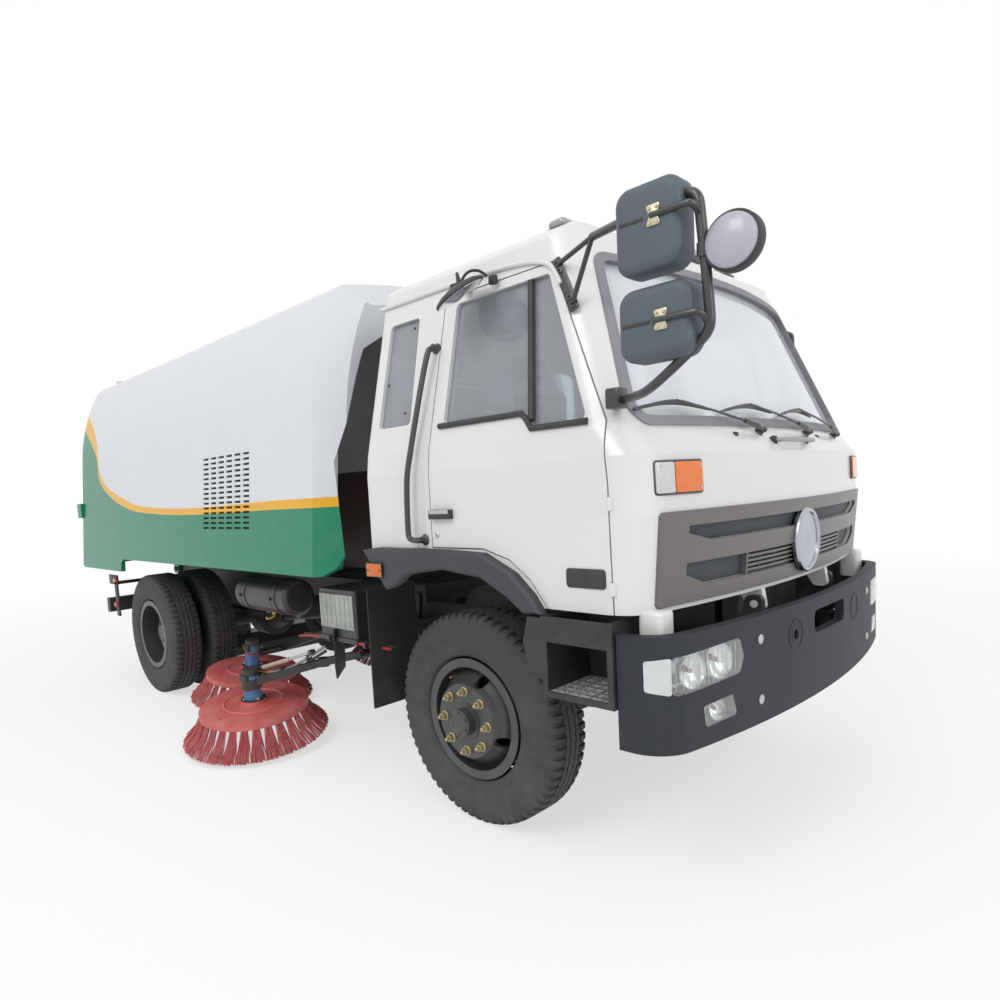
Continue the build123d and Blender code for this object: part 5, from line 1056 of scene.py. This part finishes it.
# ---- kerb mirror over the right door ----
# A shallow dished mirror that faces the ground, on a bent wire bracket from the door's window
# frame.
tilt = set_at(0.165, -1.150, 2.440, (0.302, 0.413, -0.856))
build("kerb_mirror", [black_rubber, mirror_glass], "right_door",
      (turned(((0, -0.030), (0.050, -0.028), (0.090, -0.018), (0.114, -0.006), (0.119, 0.0),
               (0.119, 0.006), (0.115, 0.008), (0, 0.008)), 56), tilt),
      (turned(((0, 0.008), (0.111, 0.008), (0.111, 0.0095), (0.06, 0.013), (0, 0.014)), 56),
       tilt, 1),
      tube(((0.10, -1.075, 2.500), (0.11, -1.10, 2.535), (0.15, -1.145, 2.530),
            (0.165, -1.152, 2.462)), 0.007),
      tube(((0.26, -1.075, 2.495), (0.25, -1.10, 2.525), (0.19, -1.145, 2.520),
            (0.170, -1.152, 2.462)), 0.006),
      (block((-0.045, -0.012, -0.010), (0.045, 0.012, 0.014), 0.005),
       set_at(0.165, -1.150, 2.470)),
      *[(block((-0.018, -0.008, -0.025), (0.018, 0.016, 0.012), 0.004),
         set_at(x, -1.042, 2.495)) for x in (0.10, 0.26)])


# ---- seats ----
# Three foam seats in grey cloth covers over steel pans; the covers are sewn along piped seams and
# the foam swells between them.
seat_cloth = finish("seat_cloth", (0.075, 0.078, 0.088), patch=(0.12, 0.12, 0.13), patch_scale=40,
                    dust=0.05, dust_top=3, roughness=0.9, grain=700, grain_depth=0.8,
                    Sheen_Weight=0.4)
seat_steel = finish("seat_steel", (0.03, 0.03, 0.032), dust=0.2, dust_top=3, roughness=0.5)
CUSHION = (0.48, 0.476, 0.130)
BACK = (0.59, 0.476, 0.108)
BACK_TILT = math.radians(-82)
SWELL = 0.024                        # the most that a cover may move
SEATS_Y = (-0.715, 0.0, 0.740)


def stuffed(size, cap, voxel=0.011):
    """A cushion of that size about the origin: a rounded block that is blown up as cloth."""
    half = Vector(size) / 2 - Vector((cap, cap, cap)) * 0.55
    start = block(-half, half, min(half) * 0.5, 4)
    mesh = bpy.data.meshes.new("stuffing")
    start.to_mesh(mesh)
    start.free()
    pad = bpy.data.objects.new("stuffing", mesh)
    bpy.context.collection.objects.link(pad)
    remesh = pad.modifiers.new("remesh", "REMESH")
    remesh.mode = "VOXEL"
    remesh.voxel_size = voxel
    bpy.context.view_layer.update()
    even = bpy.data.meshes.new_from_object(pad.evaluated_get(
        bpy.context.evaluated_depsgraph_get()))
    pad.modifiers.clear()
    pad.data = even
    rest = [v.co.copy() for v in even.vertices]
    cloth = pad.modifiers.new("cloth", "CLOTH")
    cloth.settings.use_pressure = True
    cloth.settings.uniform_pressure_force = 4
    cloth.settings.effector_weights.gravity = 0
    for frame_number in range(1, 21):
        bpy.context.scene.frame_set(frame_number)
    blown = bpy.data.meshes.new_from_object(pad.evaluated_get(
        bpy.context.evaluated_depsgraph_get()))
    bpy.context.scene.frame_set(1)
    for v, start_co in zip(blown.vertices, rest):
        move = v.co - start_co
        if move.length > cap:
            v.co = start_co + move.normalized() * cap
        v.co = [max(-s / 2, min(s / 2, c)) for c, s in zip(v.co, size)]
    bpy.data.objects.remove(pad)
    full = bmesh.new()
    full.from_mesh(blown)
    bpy.data.meshes.remove(blown)
    bmesh.ops.smooth_vert(full, verts=full.verts, factor=0.4, use_axis_x=True, use_axis_y=True,
                          use_axis_z=True)
    return full


def seam(size, inset, height, radius=0.004):
    """A piped seam round a cushion at one height."""
    a, b = size[0] / 2 - inset, size[1] / 2 - inset
    corners = rounded(oblong(-a, -b, a, b), 0.05, 5)
    return pipe([(x, y, height) for x, y in corners + corners[:1]], radius, 8, straight=True)


seat_pad = stuffed(CUSHION, SWELL)
back_pad = stuffed(BACK, SWELL)
for i, y in enumerate(SEATS_Y):
    under = set_at(-0.180, y, 1.590)
    behind = set_at(-0.382, y, 1.893) @ Matrix.Rotation(BACK_TILT, 4, "Y")
    seat = build(
        "seat_%d" % (i + 1), [seat_cloth, seat_steel], "cab",
        (seat_pad.copy(), under), (seam(CUSHION, 0.022, 0.044), under),
        (back_pad.copy(), behind), (seam(BACK, 0.022, -0.034), behind),
        (block((-0.475, y - 0.128, 2.216), (-0.385, y + 0.128, 2.368), 0.030, 5), FROM_AXLE),
        *[(tube(((-0.42, y + dy, 2.15), (-0.43, y + dy, 2.24)), 0.006), None, 1)
          for dy in (-0.06, 0.06)],
        (block((-0.380, y - 0.22, 1.302), (0.030, y + 0.22, 1.526), 0.015), FROM_AXLE, 1),
        angle=60)
    if i == 0:
        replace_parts(seat, "seats")
seat_pad.free()
back_pad.free()


# ---- dashboard and steering wheel ----
# Moulded black plastic with a grained skin; the wheel has a foamed rim on a steel core. A small
# mirror hangs over them.
dash_plastic = finish("dash_plastic", (0.035, 0.036, 0.04), dust=0.25, dust_top=3, roughness=0.6,
                      grain=500, grain_depth=0.4)
dress(dash_plastic, "dashboard steering_wheel")
build("inner_mirror", dash_plastic, "cab",
      (block((-0.09, -0.115, -0.035), (0.0, 0.115, 0.075), 0.03, 3), set_at(0.60, -0.52, 2.28)),
      tube(((0.56, -0.52, 2.36), (0.60, -0.52, 2.44), (0.66, -0.52, 2.47)), 0.008))


# ---- tanks and battery box ----
# A rolled and welded air tank held by two straps, a square fuel tank, and a battery box with a pale
# plastic cover over its front.
pale_cover = finish("pale_cover", (0.36, 0.38, 0.34), patch=(0.22, 0.24, 0.22), patch_scale=14,
                    patch_amount=0.8, dust_top=1.4, roughness=0.4, grain=30, grain_depth=0.8)
tank_black = finish("tank_black", (0.02, 0.021, 0.021), patch=(0.035, 0.036, 0.036), patch_scale=6,
                    dust=0.4, dust_top=1.5, dust_color=(0.10, 0.10, 0.095), roughness=0.4,
                    grain=90, grain_depth=0.1, Coat_Weight=0.2)
brass = finish("brass_fitting", (0.55, 0.40, 0.15), patch=(0.35, 0.25, 0.1), patch_scale=60,
               dust_top=1.4, roughness=0.35, Metallic=1.0)
dress(tank_black, "air_tank battery_box fuel_tank")
STRAP = ((0.1215, -0.022), (0.1255, -0.022), (0.1255, 0.022), (0.1215, 0.022), (0.1215, -0.022))
straps = []
for x in (-2.240, -1.825):
    straps += [(turned(STRAP, 48), set_at(x, -0.950, 0.960, (1, 0, 0))),
               (hexagon(0.012, 0.014), set_at(x, -1.076, 0.960, (0, -1, 0)))]
build("air_tank_straps", chassis_paint, "root", *straps)
build("air_tank_drain", brass, "root",
      tube(((-2.02, -0.95, 0.842), (-2.02, -0.95, 0.815), (-2.02, -0.98, 0.80),
            (-2.02, -1.01, 0.80)), 0.011),
      (hexagon(0.016, 0.018), set_at(-2.02, -0.95, 0.828)))
front = set_at(-1.03, -1.092, 0.950)
build("battery_front", pale_cover, "root",
      (block((-0.165, -0.008, -0.10), (0.165, 0.004, 0.10), 0.006), front),
      *[(block((-0.14 + 0.046 * i - 0.004, -0.012, -0.088),
               (-0.14 + 0.046 * i + 0.004, -0.006, 0.088), 0.003),
         front @ Matrix.Rotation(0.05 * (i % 3 - 1), 4, "Y")) for i in range(7)])
straps = []
for x in (-2.42, -1.84):
    for low, high in (((0.475, 0.70), (0.481, 1.085)), ((1.079, 0.70), (1.085, 1.085)),
                      ((0.476, 1.080), (1.084, 1.086))):
        straps.append((block((x - 0.02, *low), (x + 0.02, *high), 0.001), FROM_AXLE))
build("fuel_tank_straps", chassis_paint, "root", *straps,
      (button(0.045, 0.024, 0.040, 0.030, 28), set_at(-1.76, 0.98, 1.080)))


# ---- hopper body and tailgate ----
# A welded steel tank painted white over green with a yellow stripe that sweeps up behind, on the
# tank's own heights. A near-black sheet behind its punched louvres is painted shade inside the
# tank; the gate has bars and two latches.
body_paint = finish("body_paint", (0.60, 0.615, 0.63), roughness=0.24, spread=0.08, dust=0.12,
                    dust_top=2.4, dust_color=(0.5, 0.48, 0.44), grain=40, grain_depth=0.04,
                    Coat_Weight=0.12, Coat_Roughness=0.12, Specular_IOR_Level=0.3)
STRIPE_EDGES = (                 # x from the front axle, top edge, bottom edge
    (-0.60, 1.607, 1.552), (-0.99, 1.607, 1.552), (-3.69, 1.625, 1.570), (-4.03, 1.684, 1.616),
    (-4.53, 1.826, 1.763), (-4.74, 2.000, 1.900), (-4.81, 2.249, 2.104), (-5.35, 2.60, 2.45))
tree = body_paint.node_tree
place = add_node(tree, "TexCoord")
split = add_node(tree, "SeparateXYZ")
x_low, x_high = STRIPE_EDGES[-1][0] + FRONT_AXLE_X, STRIPE_EDGES[0][0] + FRONT_AXLE_X
z_low, z_high = 1.5, 2.7             # the heights that the curves' 0 and 1 stand for
along = add_node(tree, "MapRange", in_From_Min=x_low, in_From_Max=x_high)
link_nodes(tree, (place, "Object", split, 0), (split, "X", along, "Value"))


def below_edge(column):
    """One where the surface lies below that edge of the stripe."""
    curve = add_node(tree, "FloatCurve")
    points = curve.mapping.curves[0].points
    for row in reversed(STRIPE_EDGES):
        x = (row[0] + FRONT_AXLE_X - x_low) / (x_high - x_low)
        z = (row[column] - z_low) / (z_high - z_low)
        if row is STRIPE_EDGES[-1]:
            points[0].location = (x, z)
        elif row is STRIPE_EDGES[0]:
            points[-1].location = (x, z)
        else:
            points.new(x, z)
    curve.mapping.update()
    height = add_node(tree, "MapRange", in_To_Min=z_low, in_To_Max=z_high)
    under = add_node(tree, "Math", operation="LESS_THAN")
    link_nodes(tree, (along, "Result", curve, "Value"), (curve, 0, height, "Value"),
               (split, "Z", under, 0), (height, "Result", under, 1))
    return under


WHITE, YELLOW, GREEN = (0.60, 0.615, 0.63, 1), (0.70, 0.36, 0.010, 1), (0.003, 0.190, 0.095, 1)
stripe_mix = add_node(tree, "Mix", data_type="RGBA", in_A=WHITE, in_B=YELLOW)
green_mix = add_node(tree, "Mix", data_type="RGBA", in_B=GREEN)
darker = add_node(tree, "Mix", data_type="RGBA", blend_type="MULTIPLY", in_Factor=1.0,
                  in_B=(0.93, 0.93, 0.93, 1))
link_nodes(tree, (below_edge(1), 0, stripe_mix, "Factor"), (stripe_mix, "Result", green_mix, "A"),
           (below_edge(2), 0, green_mix, "Factor"),
           (green_mix, "Result", tree.nodes["weathered"], "Color"),
           (green_mix, "Result", darker, "A"),
           (darker, "Result", tree.nodes["weathered"], "Patch Color"))
dress(body_paint, "hopper_body tailgate")
louvre_painted_shade = finish("louvre_painted_shade", (0.010, 0.011, 0.013), dust=0.2, dust_top=3, roughness=0.7)
WALL_TILT = math.atan(83 / 935)      # how the tank's side leans where the louvres are
# A near-black sheet behind each bank of louvres is painted shade inside the tank.
build("louvre_shade_sheet", louvre_painted_shade, "hopper", *[
    (block((-0.355, -0.001, -0.265), (0.355, 0.001, 0.265)),
     set_at(-2.115, side * 1.174, 1.675) @ Matrix.Rotation(side * WALL_TILT, 4, "X"))
    for side in (-1, 1)])
latch_zinc = finish("latch_zinc", (0.16, 0.16, 0.165), patch=(0.08, 0.075, 0.07), patch_scale=30,
                    dust=0.4, dust_top=2, Metallic=0.7)
build("latch_bolts", latch_zinc, "gate", *[
    (hexagon(0.012, 0.010), set_at(-5.337, side * 1.172, z, (-1, 0, 0)))
    for side in (-1, 1) for z in (1.575, 1.645)])
red_lens = finish("red_lens", (0.42, 0.012, 0.010), patch=(0.3, 0.006, 0.006), patch_scale=40,
                  dust=0.2, dust_top=1.5, roughness=0.15, Coat_Weight=0.6, Coat_Roughness=0.05)
tails = []
for y in (-0.86, 0.86):
    tails.append((block((-5.045, y - 0.17, 0.625), (-5.035, y + 0.17, 0.725), 0.006), FROM_AXLE,
                  2))
    tails += [(block((-5.062, y + dy - 0.048, 0.635), (-5.043, y + dy + 0.048, 0.715), 0.008),
               FROM_AXLE, slot) for dy, slot in ((-0.11, 0), (0.0, 1), (0.11, 0))]
build("tail_lamps", [red_lens, amber_lens, chassis_paint], "root", *tails)


# ---- auxiliary engine ----
# A diesel block with its fan duct and air filter, dark red paint under black pipes and soot.
machine_paint = finish("machine_paint", (0.025, 0.016, 0.018), patch=(0.085, 0.018, 0.02),
                       patch_amount=0.8, dust=0.25, dust_top=2, roughness=0.5)
dress(machine_paint, "aux_engine")


# ---- brush arms and motors ----
# Square and round steel arms in dark paint with blue hydraulic motors bolted over the brush discs,
# fed by hoses that are clipped along the arms.
motor_paint = finish("motor_paint", (0.045, 0.16, 0.36), patch=(0.08, 0.22, 0.45), patch_scale=18,
                     dust=0.4, dust_top=0.9)
hose_black = finish("hose_black", (0.018, 0.018, 0.019), patch=(0.04, 0.04, 0.042), patch_scale=30,
                    dust=0.4, roughness=0.5)
red_paint = finish("red_paint", (0.36, 0.03, 0.028), patch=(0.25, 0.02, 0.02), patch_scale=20,
                   roughness=0.4)
beige_paint = finish("beige_paint", (0.42, 0.36, 0.27), patch=(0.3, 0.25, 0.19), patch_scale=14,
                     dust=0.4, roughness=0.5)
dress(chassis_paint, "outer_arm_right outer_arm_left inner_brush_frame suction_hose")
BRUSHES = (                      # brush node, its body, the arm's body, hub, axis
    ("outer_brush_right", "right_outer_brush", "right_outer_arm", (0.0125, -1.215, 0.275),
     (0.08617464, -0.08617464, 0.99254615)),
    ("outer_brush_left", "left_outer_brush", "left_outer_arm", (0.0125, 1.215, 0.275),
     (0.08617464, 0.08617464, 0.99254615)),
    ("inner_brush_right", "right_inner_brush", "inner_frame", (-0.8625, -0.770, 0.275),
     (0.12186934, 0.0, 0.99254615)),
    ("inner_brush_left", "left_inner_brush", "inner_frame", (-0.8625, 0.770, 0.275),
     (0.12186934, 0.0, 0.99254615)))
MOTOR = ((0.040, 0.045), (0.060, 0.045), (0.060, 0.070), (0.054, 0.074), (0.054, 0.112),
         (0.058, 0.114), (0.058, 0.124), (0.054, 0.126), (0.054, 0.200), (0.050, 0.206),
         (0.040, 0.206))
PORT = ((0, 0), (0.015, 0), (0.015, 0.020), (0.010, 0.024), (0, 0.024))
MOTOR_BOLTS, MOTOR_CIRCLE = 4, 0.066
for brush_node, _, arm, hub, axis in BRUSHES:
    stand = Matrix.Translation(hub) @ facing(axis)
    angles = [math.tau * (i + 0.5) / MOTOR_BOLTS for i in range(MOTOR_BOLTS)]
    build(brush_node + "_motor", [motor_paint, red_paint, bright_zinc], arm,
          (turned(MOTOR, 28), stand),
          *[(hexagon(0.010, 0.010), stand @ Matrix.Translation(
              (MOTOR_CIRCLE * math.cos(angle), MOTOR_CIRCLE * math.sin(angle), 0.046)), 2)
            for angle in angles],
          (turned(((0.054, 0.134), (0.057, 0.136), (0.057, 0.148), (0.054, 0.150)), 28), stand, 1),
          *[(turned(PORT, 12),
             stand @ Matrix.Translation((0.052, side * 0.020, 0.180)) @ facing((1, 0, 0)), 2)
            for side in (-1, 1)])


# ---- brushes ----
# Pressed steel discs in red paint with tufts of stiff red plastic bristles clamped round their
# rims; the bristles flare outwards and are worn to different lengths.
disc_paint = finish("disc_paint", (0.50, 0.080, 0.075), patch=(0.60, 0.17, 0.16), patch_scale=9,
                    patch_amount=0.7, dust=0.35, dust_top=0.6, dust_color=(0.42, 0.28, 0.24),
                    roughness=0.5, grain=120, grain_depth=0.3)
bristle = finish("bristle", (0.36, 0.035, 0.040), patch=(0.52, 0.12, 0.12), patch_scale=22,
                 patch_amount=0.8, dust=0.45, dust_top=0.35, dust_color=(0.34, 0.22, 0.19),
                 roughness=0.55, grain=200, grain_depth=0.3)
TUFTS = 30                           # round each disc
BRISTLES = 42                        # in each tuft
DISC_BOLTS = 6
DISC = ((0.0, 0.018), (0.070, 0.018), (0.075, 0.036), (0.082, 0.038), (0.088, 0.018),
        (0.180, 0.016), (0.190, 0.024), (0.200, 0.016), (0.330, 0.012), (0.350, 0.004),
        (0.352, -0.030), (0.344, -0.032), (0.338, -0.010), (0.180, -0.004), (0.0, -0.004))
chance = random.Random(7)
for brush_node, body, _, hub, axis in BRUSHES:
    stand = Matrix.Translation(hub) @ facing(axis)
    disc = build(brush_node + "_disc", disc_paint, body, (turned(DISC, 72), stand), *[
        (hexagon(0.011, 0.008), stand @ Matrix.Rotation(math.tau * i / DISC_BOLTS, 4, "Z") @
         Matrix.Translation((0.290, 0, 0.0125))) for i in range(DISC_BOLTS)])
    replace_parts(disc, brush_node)
    tufts = bmesh.new()
    for k in range(BRISTLES):
        along, across = chance.uniform(-0.010, 0.012), chance.uniform(-0.017, 0.017)
        spread = chance.uniform(-0.024, 0.024) + across * 0.9
        root = Vector((0.330 + along, across, -0.018))
        end = Vector((0.460 + along, across + spread, -0.196 + chance.uniform(0.0, 0.012)))
        strand = bmesh.new()
        bmesh.ops.create_cone(strand, segments=4, radius1=0.0036, radius2=0.0030, depth=1,
                              cap_ends=True)
        bmesh.ops.bisect_plane(strand, geom=strand.verts[:] + strand.edges[:] + strand.faces[:],
                               plane_co=(0, 0, 0), plane_no=(0, 0, 1), dist=1e-6)
        for v in strand.verts:
            share = v.co.z + 0.5
            bulge = Vector((-0.014, 0, -0.010)) * (1 - (2 * share - 1) ** 2)
            v.co = root.lerp(end, share) + bulge + Vector((v.co.x, v.co.y, 0))
        join(tufts, strand)
    bmesh.ops.spin(tufts, geom=tufts.verts[:] + tufts.edges[:] + tufts.faces[:], cent=(0, 0, 0),
                   axis=(0, 0, 1), angle=math.tau * (TUFTS - 1) / TUFTS, steps=TUFTS - 1,
                   use_duplicate=True)
    build(brush_node + "_tufts", bristle, body, (tufts, stand), angle=60)


# ---- fittings round the right outer brush ----
# A beige gas strut and two hydraulic hoses clipped along the right arm, a red air pipe along the
# frame, and a stiff black rubber flap in front of the brush.
STRUT_LOW, STRUT_STEP, STRUT_HIGH = ((-1.850, -1.165, 0.512), (-1.560, -1.120, 0.600),
                                     (-1.390, -1.060, 0.655))
build("arm_strut", [beige_paint, bright_steel, black_metal], "right_outer_arm",
      tube((STRUT_LOW, STRUT_STEP), 0.014, straight=True),
      (tube((STRUT_STEP, STRUT_HIGH), 0.009, straight=True), None, 1),
      *[(turned(((0, -0.018), (0.018, -0.018), (0.018, 0.018), (0, 0.018)), 18),
         set_at(*end, (0, 1, 0)), 2) for end in (STRUT_LOW, STRUT_HIGH)])
HOSE = ((-1.845, -1.160, 0.452), (-1.760, -1.125, 0.455), (-1.640, -1.060, 0.490),
        (-1.480, -0.985, 0.590), (-1.400, -0.950, 0.640))
hoses = []
for lift, slot in ((0.0, 0), (0.030, 1)):
    ferrule = ((-1.850, -1.162, 0.452 + lift), (-1.800, -1.143, 0.4535 + lift))
    hoses += [(tube([(x, y, z + lift) for x, y, z in HOSE], 0.010, 12, 10), None, slot),
              (tube(ferrule, 0.0125, straight=True), None, 2)]
build("arm_hoses", [hose_black, rail_grey, brass, black_metal], "right_outer_arm", *hoses,
      *[(block((-0.008, -0.020, -0.026), (0.008, 0.020, 0.040), 0.004), set_at(x, y, z), 3)
        for x, y, z in ((-1.70, -1.092, 0.488), (-1.52, -1.003, 0.580))])
build("frame_pipes", [red_paint, hose_black, black_metal], "root",
      tube(((-1.640, -0.985, 0.715), (-1.560, -1.015, 0.735), (-1.360, -1.060, 0.765),
            (-1.200, -1.085, 0.778), (-0.900, -1.085, 0.782), (-0.560, -1.085, 0.785)), 0.009),
      (tube(((-1.620, -0.960, 0.735), (-1.500, -0.985, 0.748), (-1.300, -1.035, 0.770),
             (-0.900, -1.055, 0.786), (-0.560, -1.055, 0.790)), 0.006), None, 1),
      *[(block((-0.010, -0.045, -0.016), (0.010, 0.016, 0.018), 0.004),
         set_at(x, -1.075, 0.786), 2) for x in (-1.10, -0.75)])
build("brush_flap", flap_rubber, "root",
      (plate(((0.0, 0.0), (0.17, -0.03), (0.185, 0.05), (0.17, 0.26), (-0.02, 0.26)), 0.008,
             0.002),
       Matrix(((0.62, 0, 0.78, FRONT_AXLE_X - 1.150), (-0.78, 0, 0.62, -0.985), (0, 1, 0, 0.585),
               (0, 0, 0, 1)))))
BRACKET_BARS = (                 # two corners, edge radius and slot of each bar and of the lamp
    ((-4.780, -1.158, 0.900), (-4.560, -1.142, 0.990), 0.004, 0),
    ((-4.650, -1.158, 0.600), (-4.580, -1.142, 0.930), 0.004, 0),
    ((-4.640, -1.150, 0.900), (-4.600, -0.440, 0.930), 0.004, 0),
    ((-4.625, -1.176, 0.925), (-4.565, -1.156, 0.960), 0.006, 1))
build("rear_side_lamps", [chassis_paint, amber_lens, red_lens], "root",
      *[(block(low, high, bevel), FROM_AXLE, slot) for low, high, bevel, slot in BRACKET_BARS],
      (turned(((0, 0), (0.026, 0), (0.026, 0.014), (0.020, 0.024), (0, 0.026)), 24),
       side_wall(-4.615, 0.712, -1, 1.156), 2))
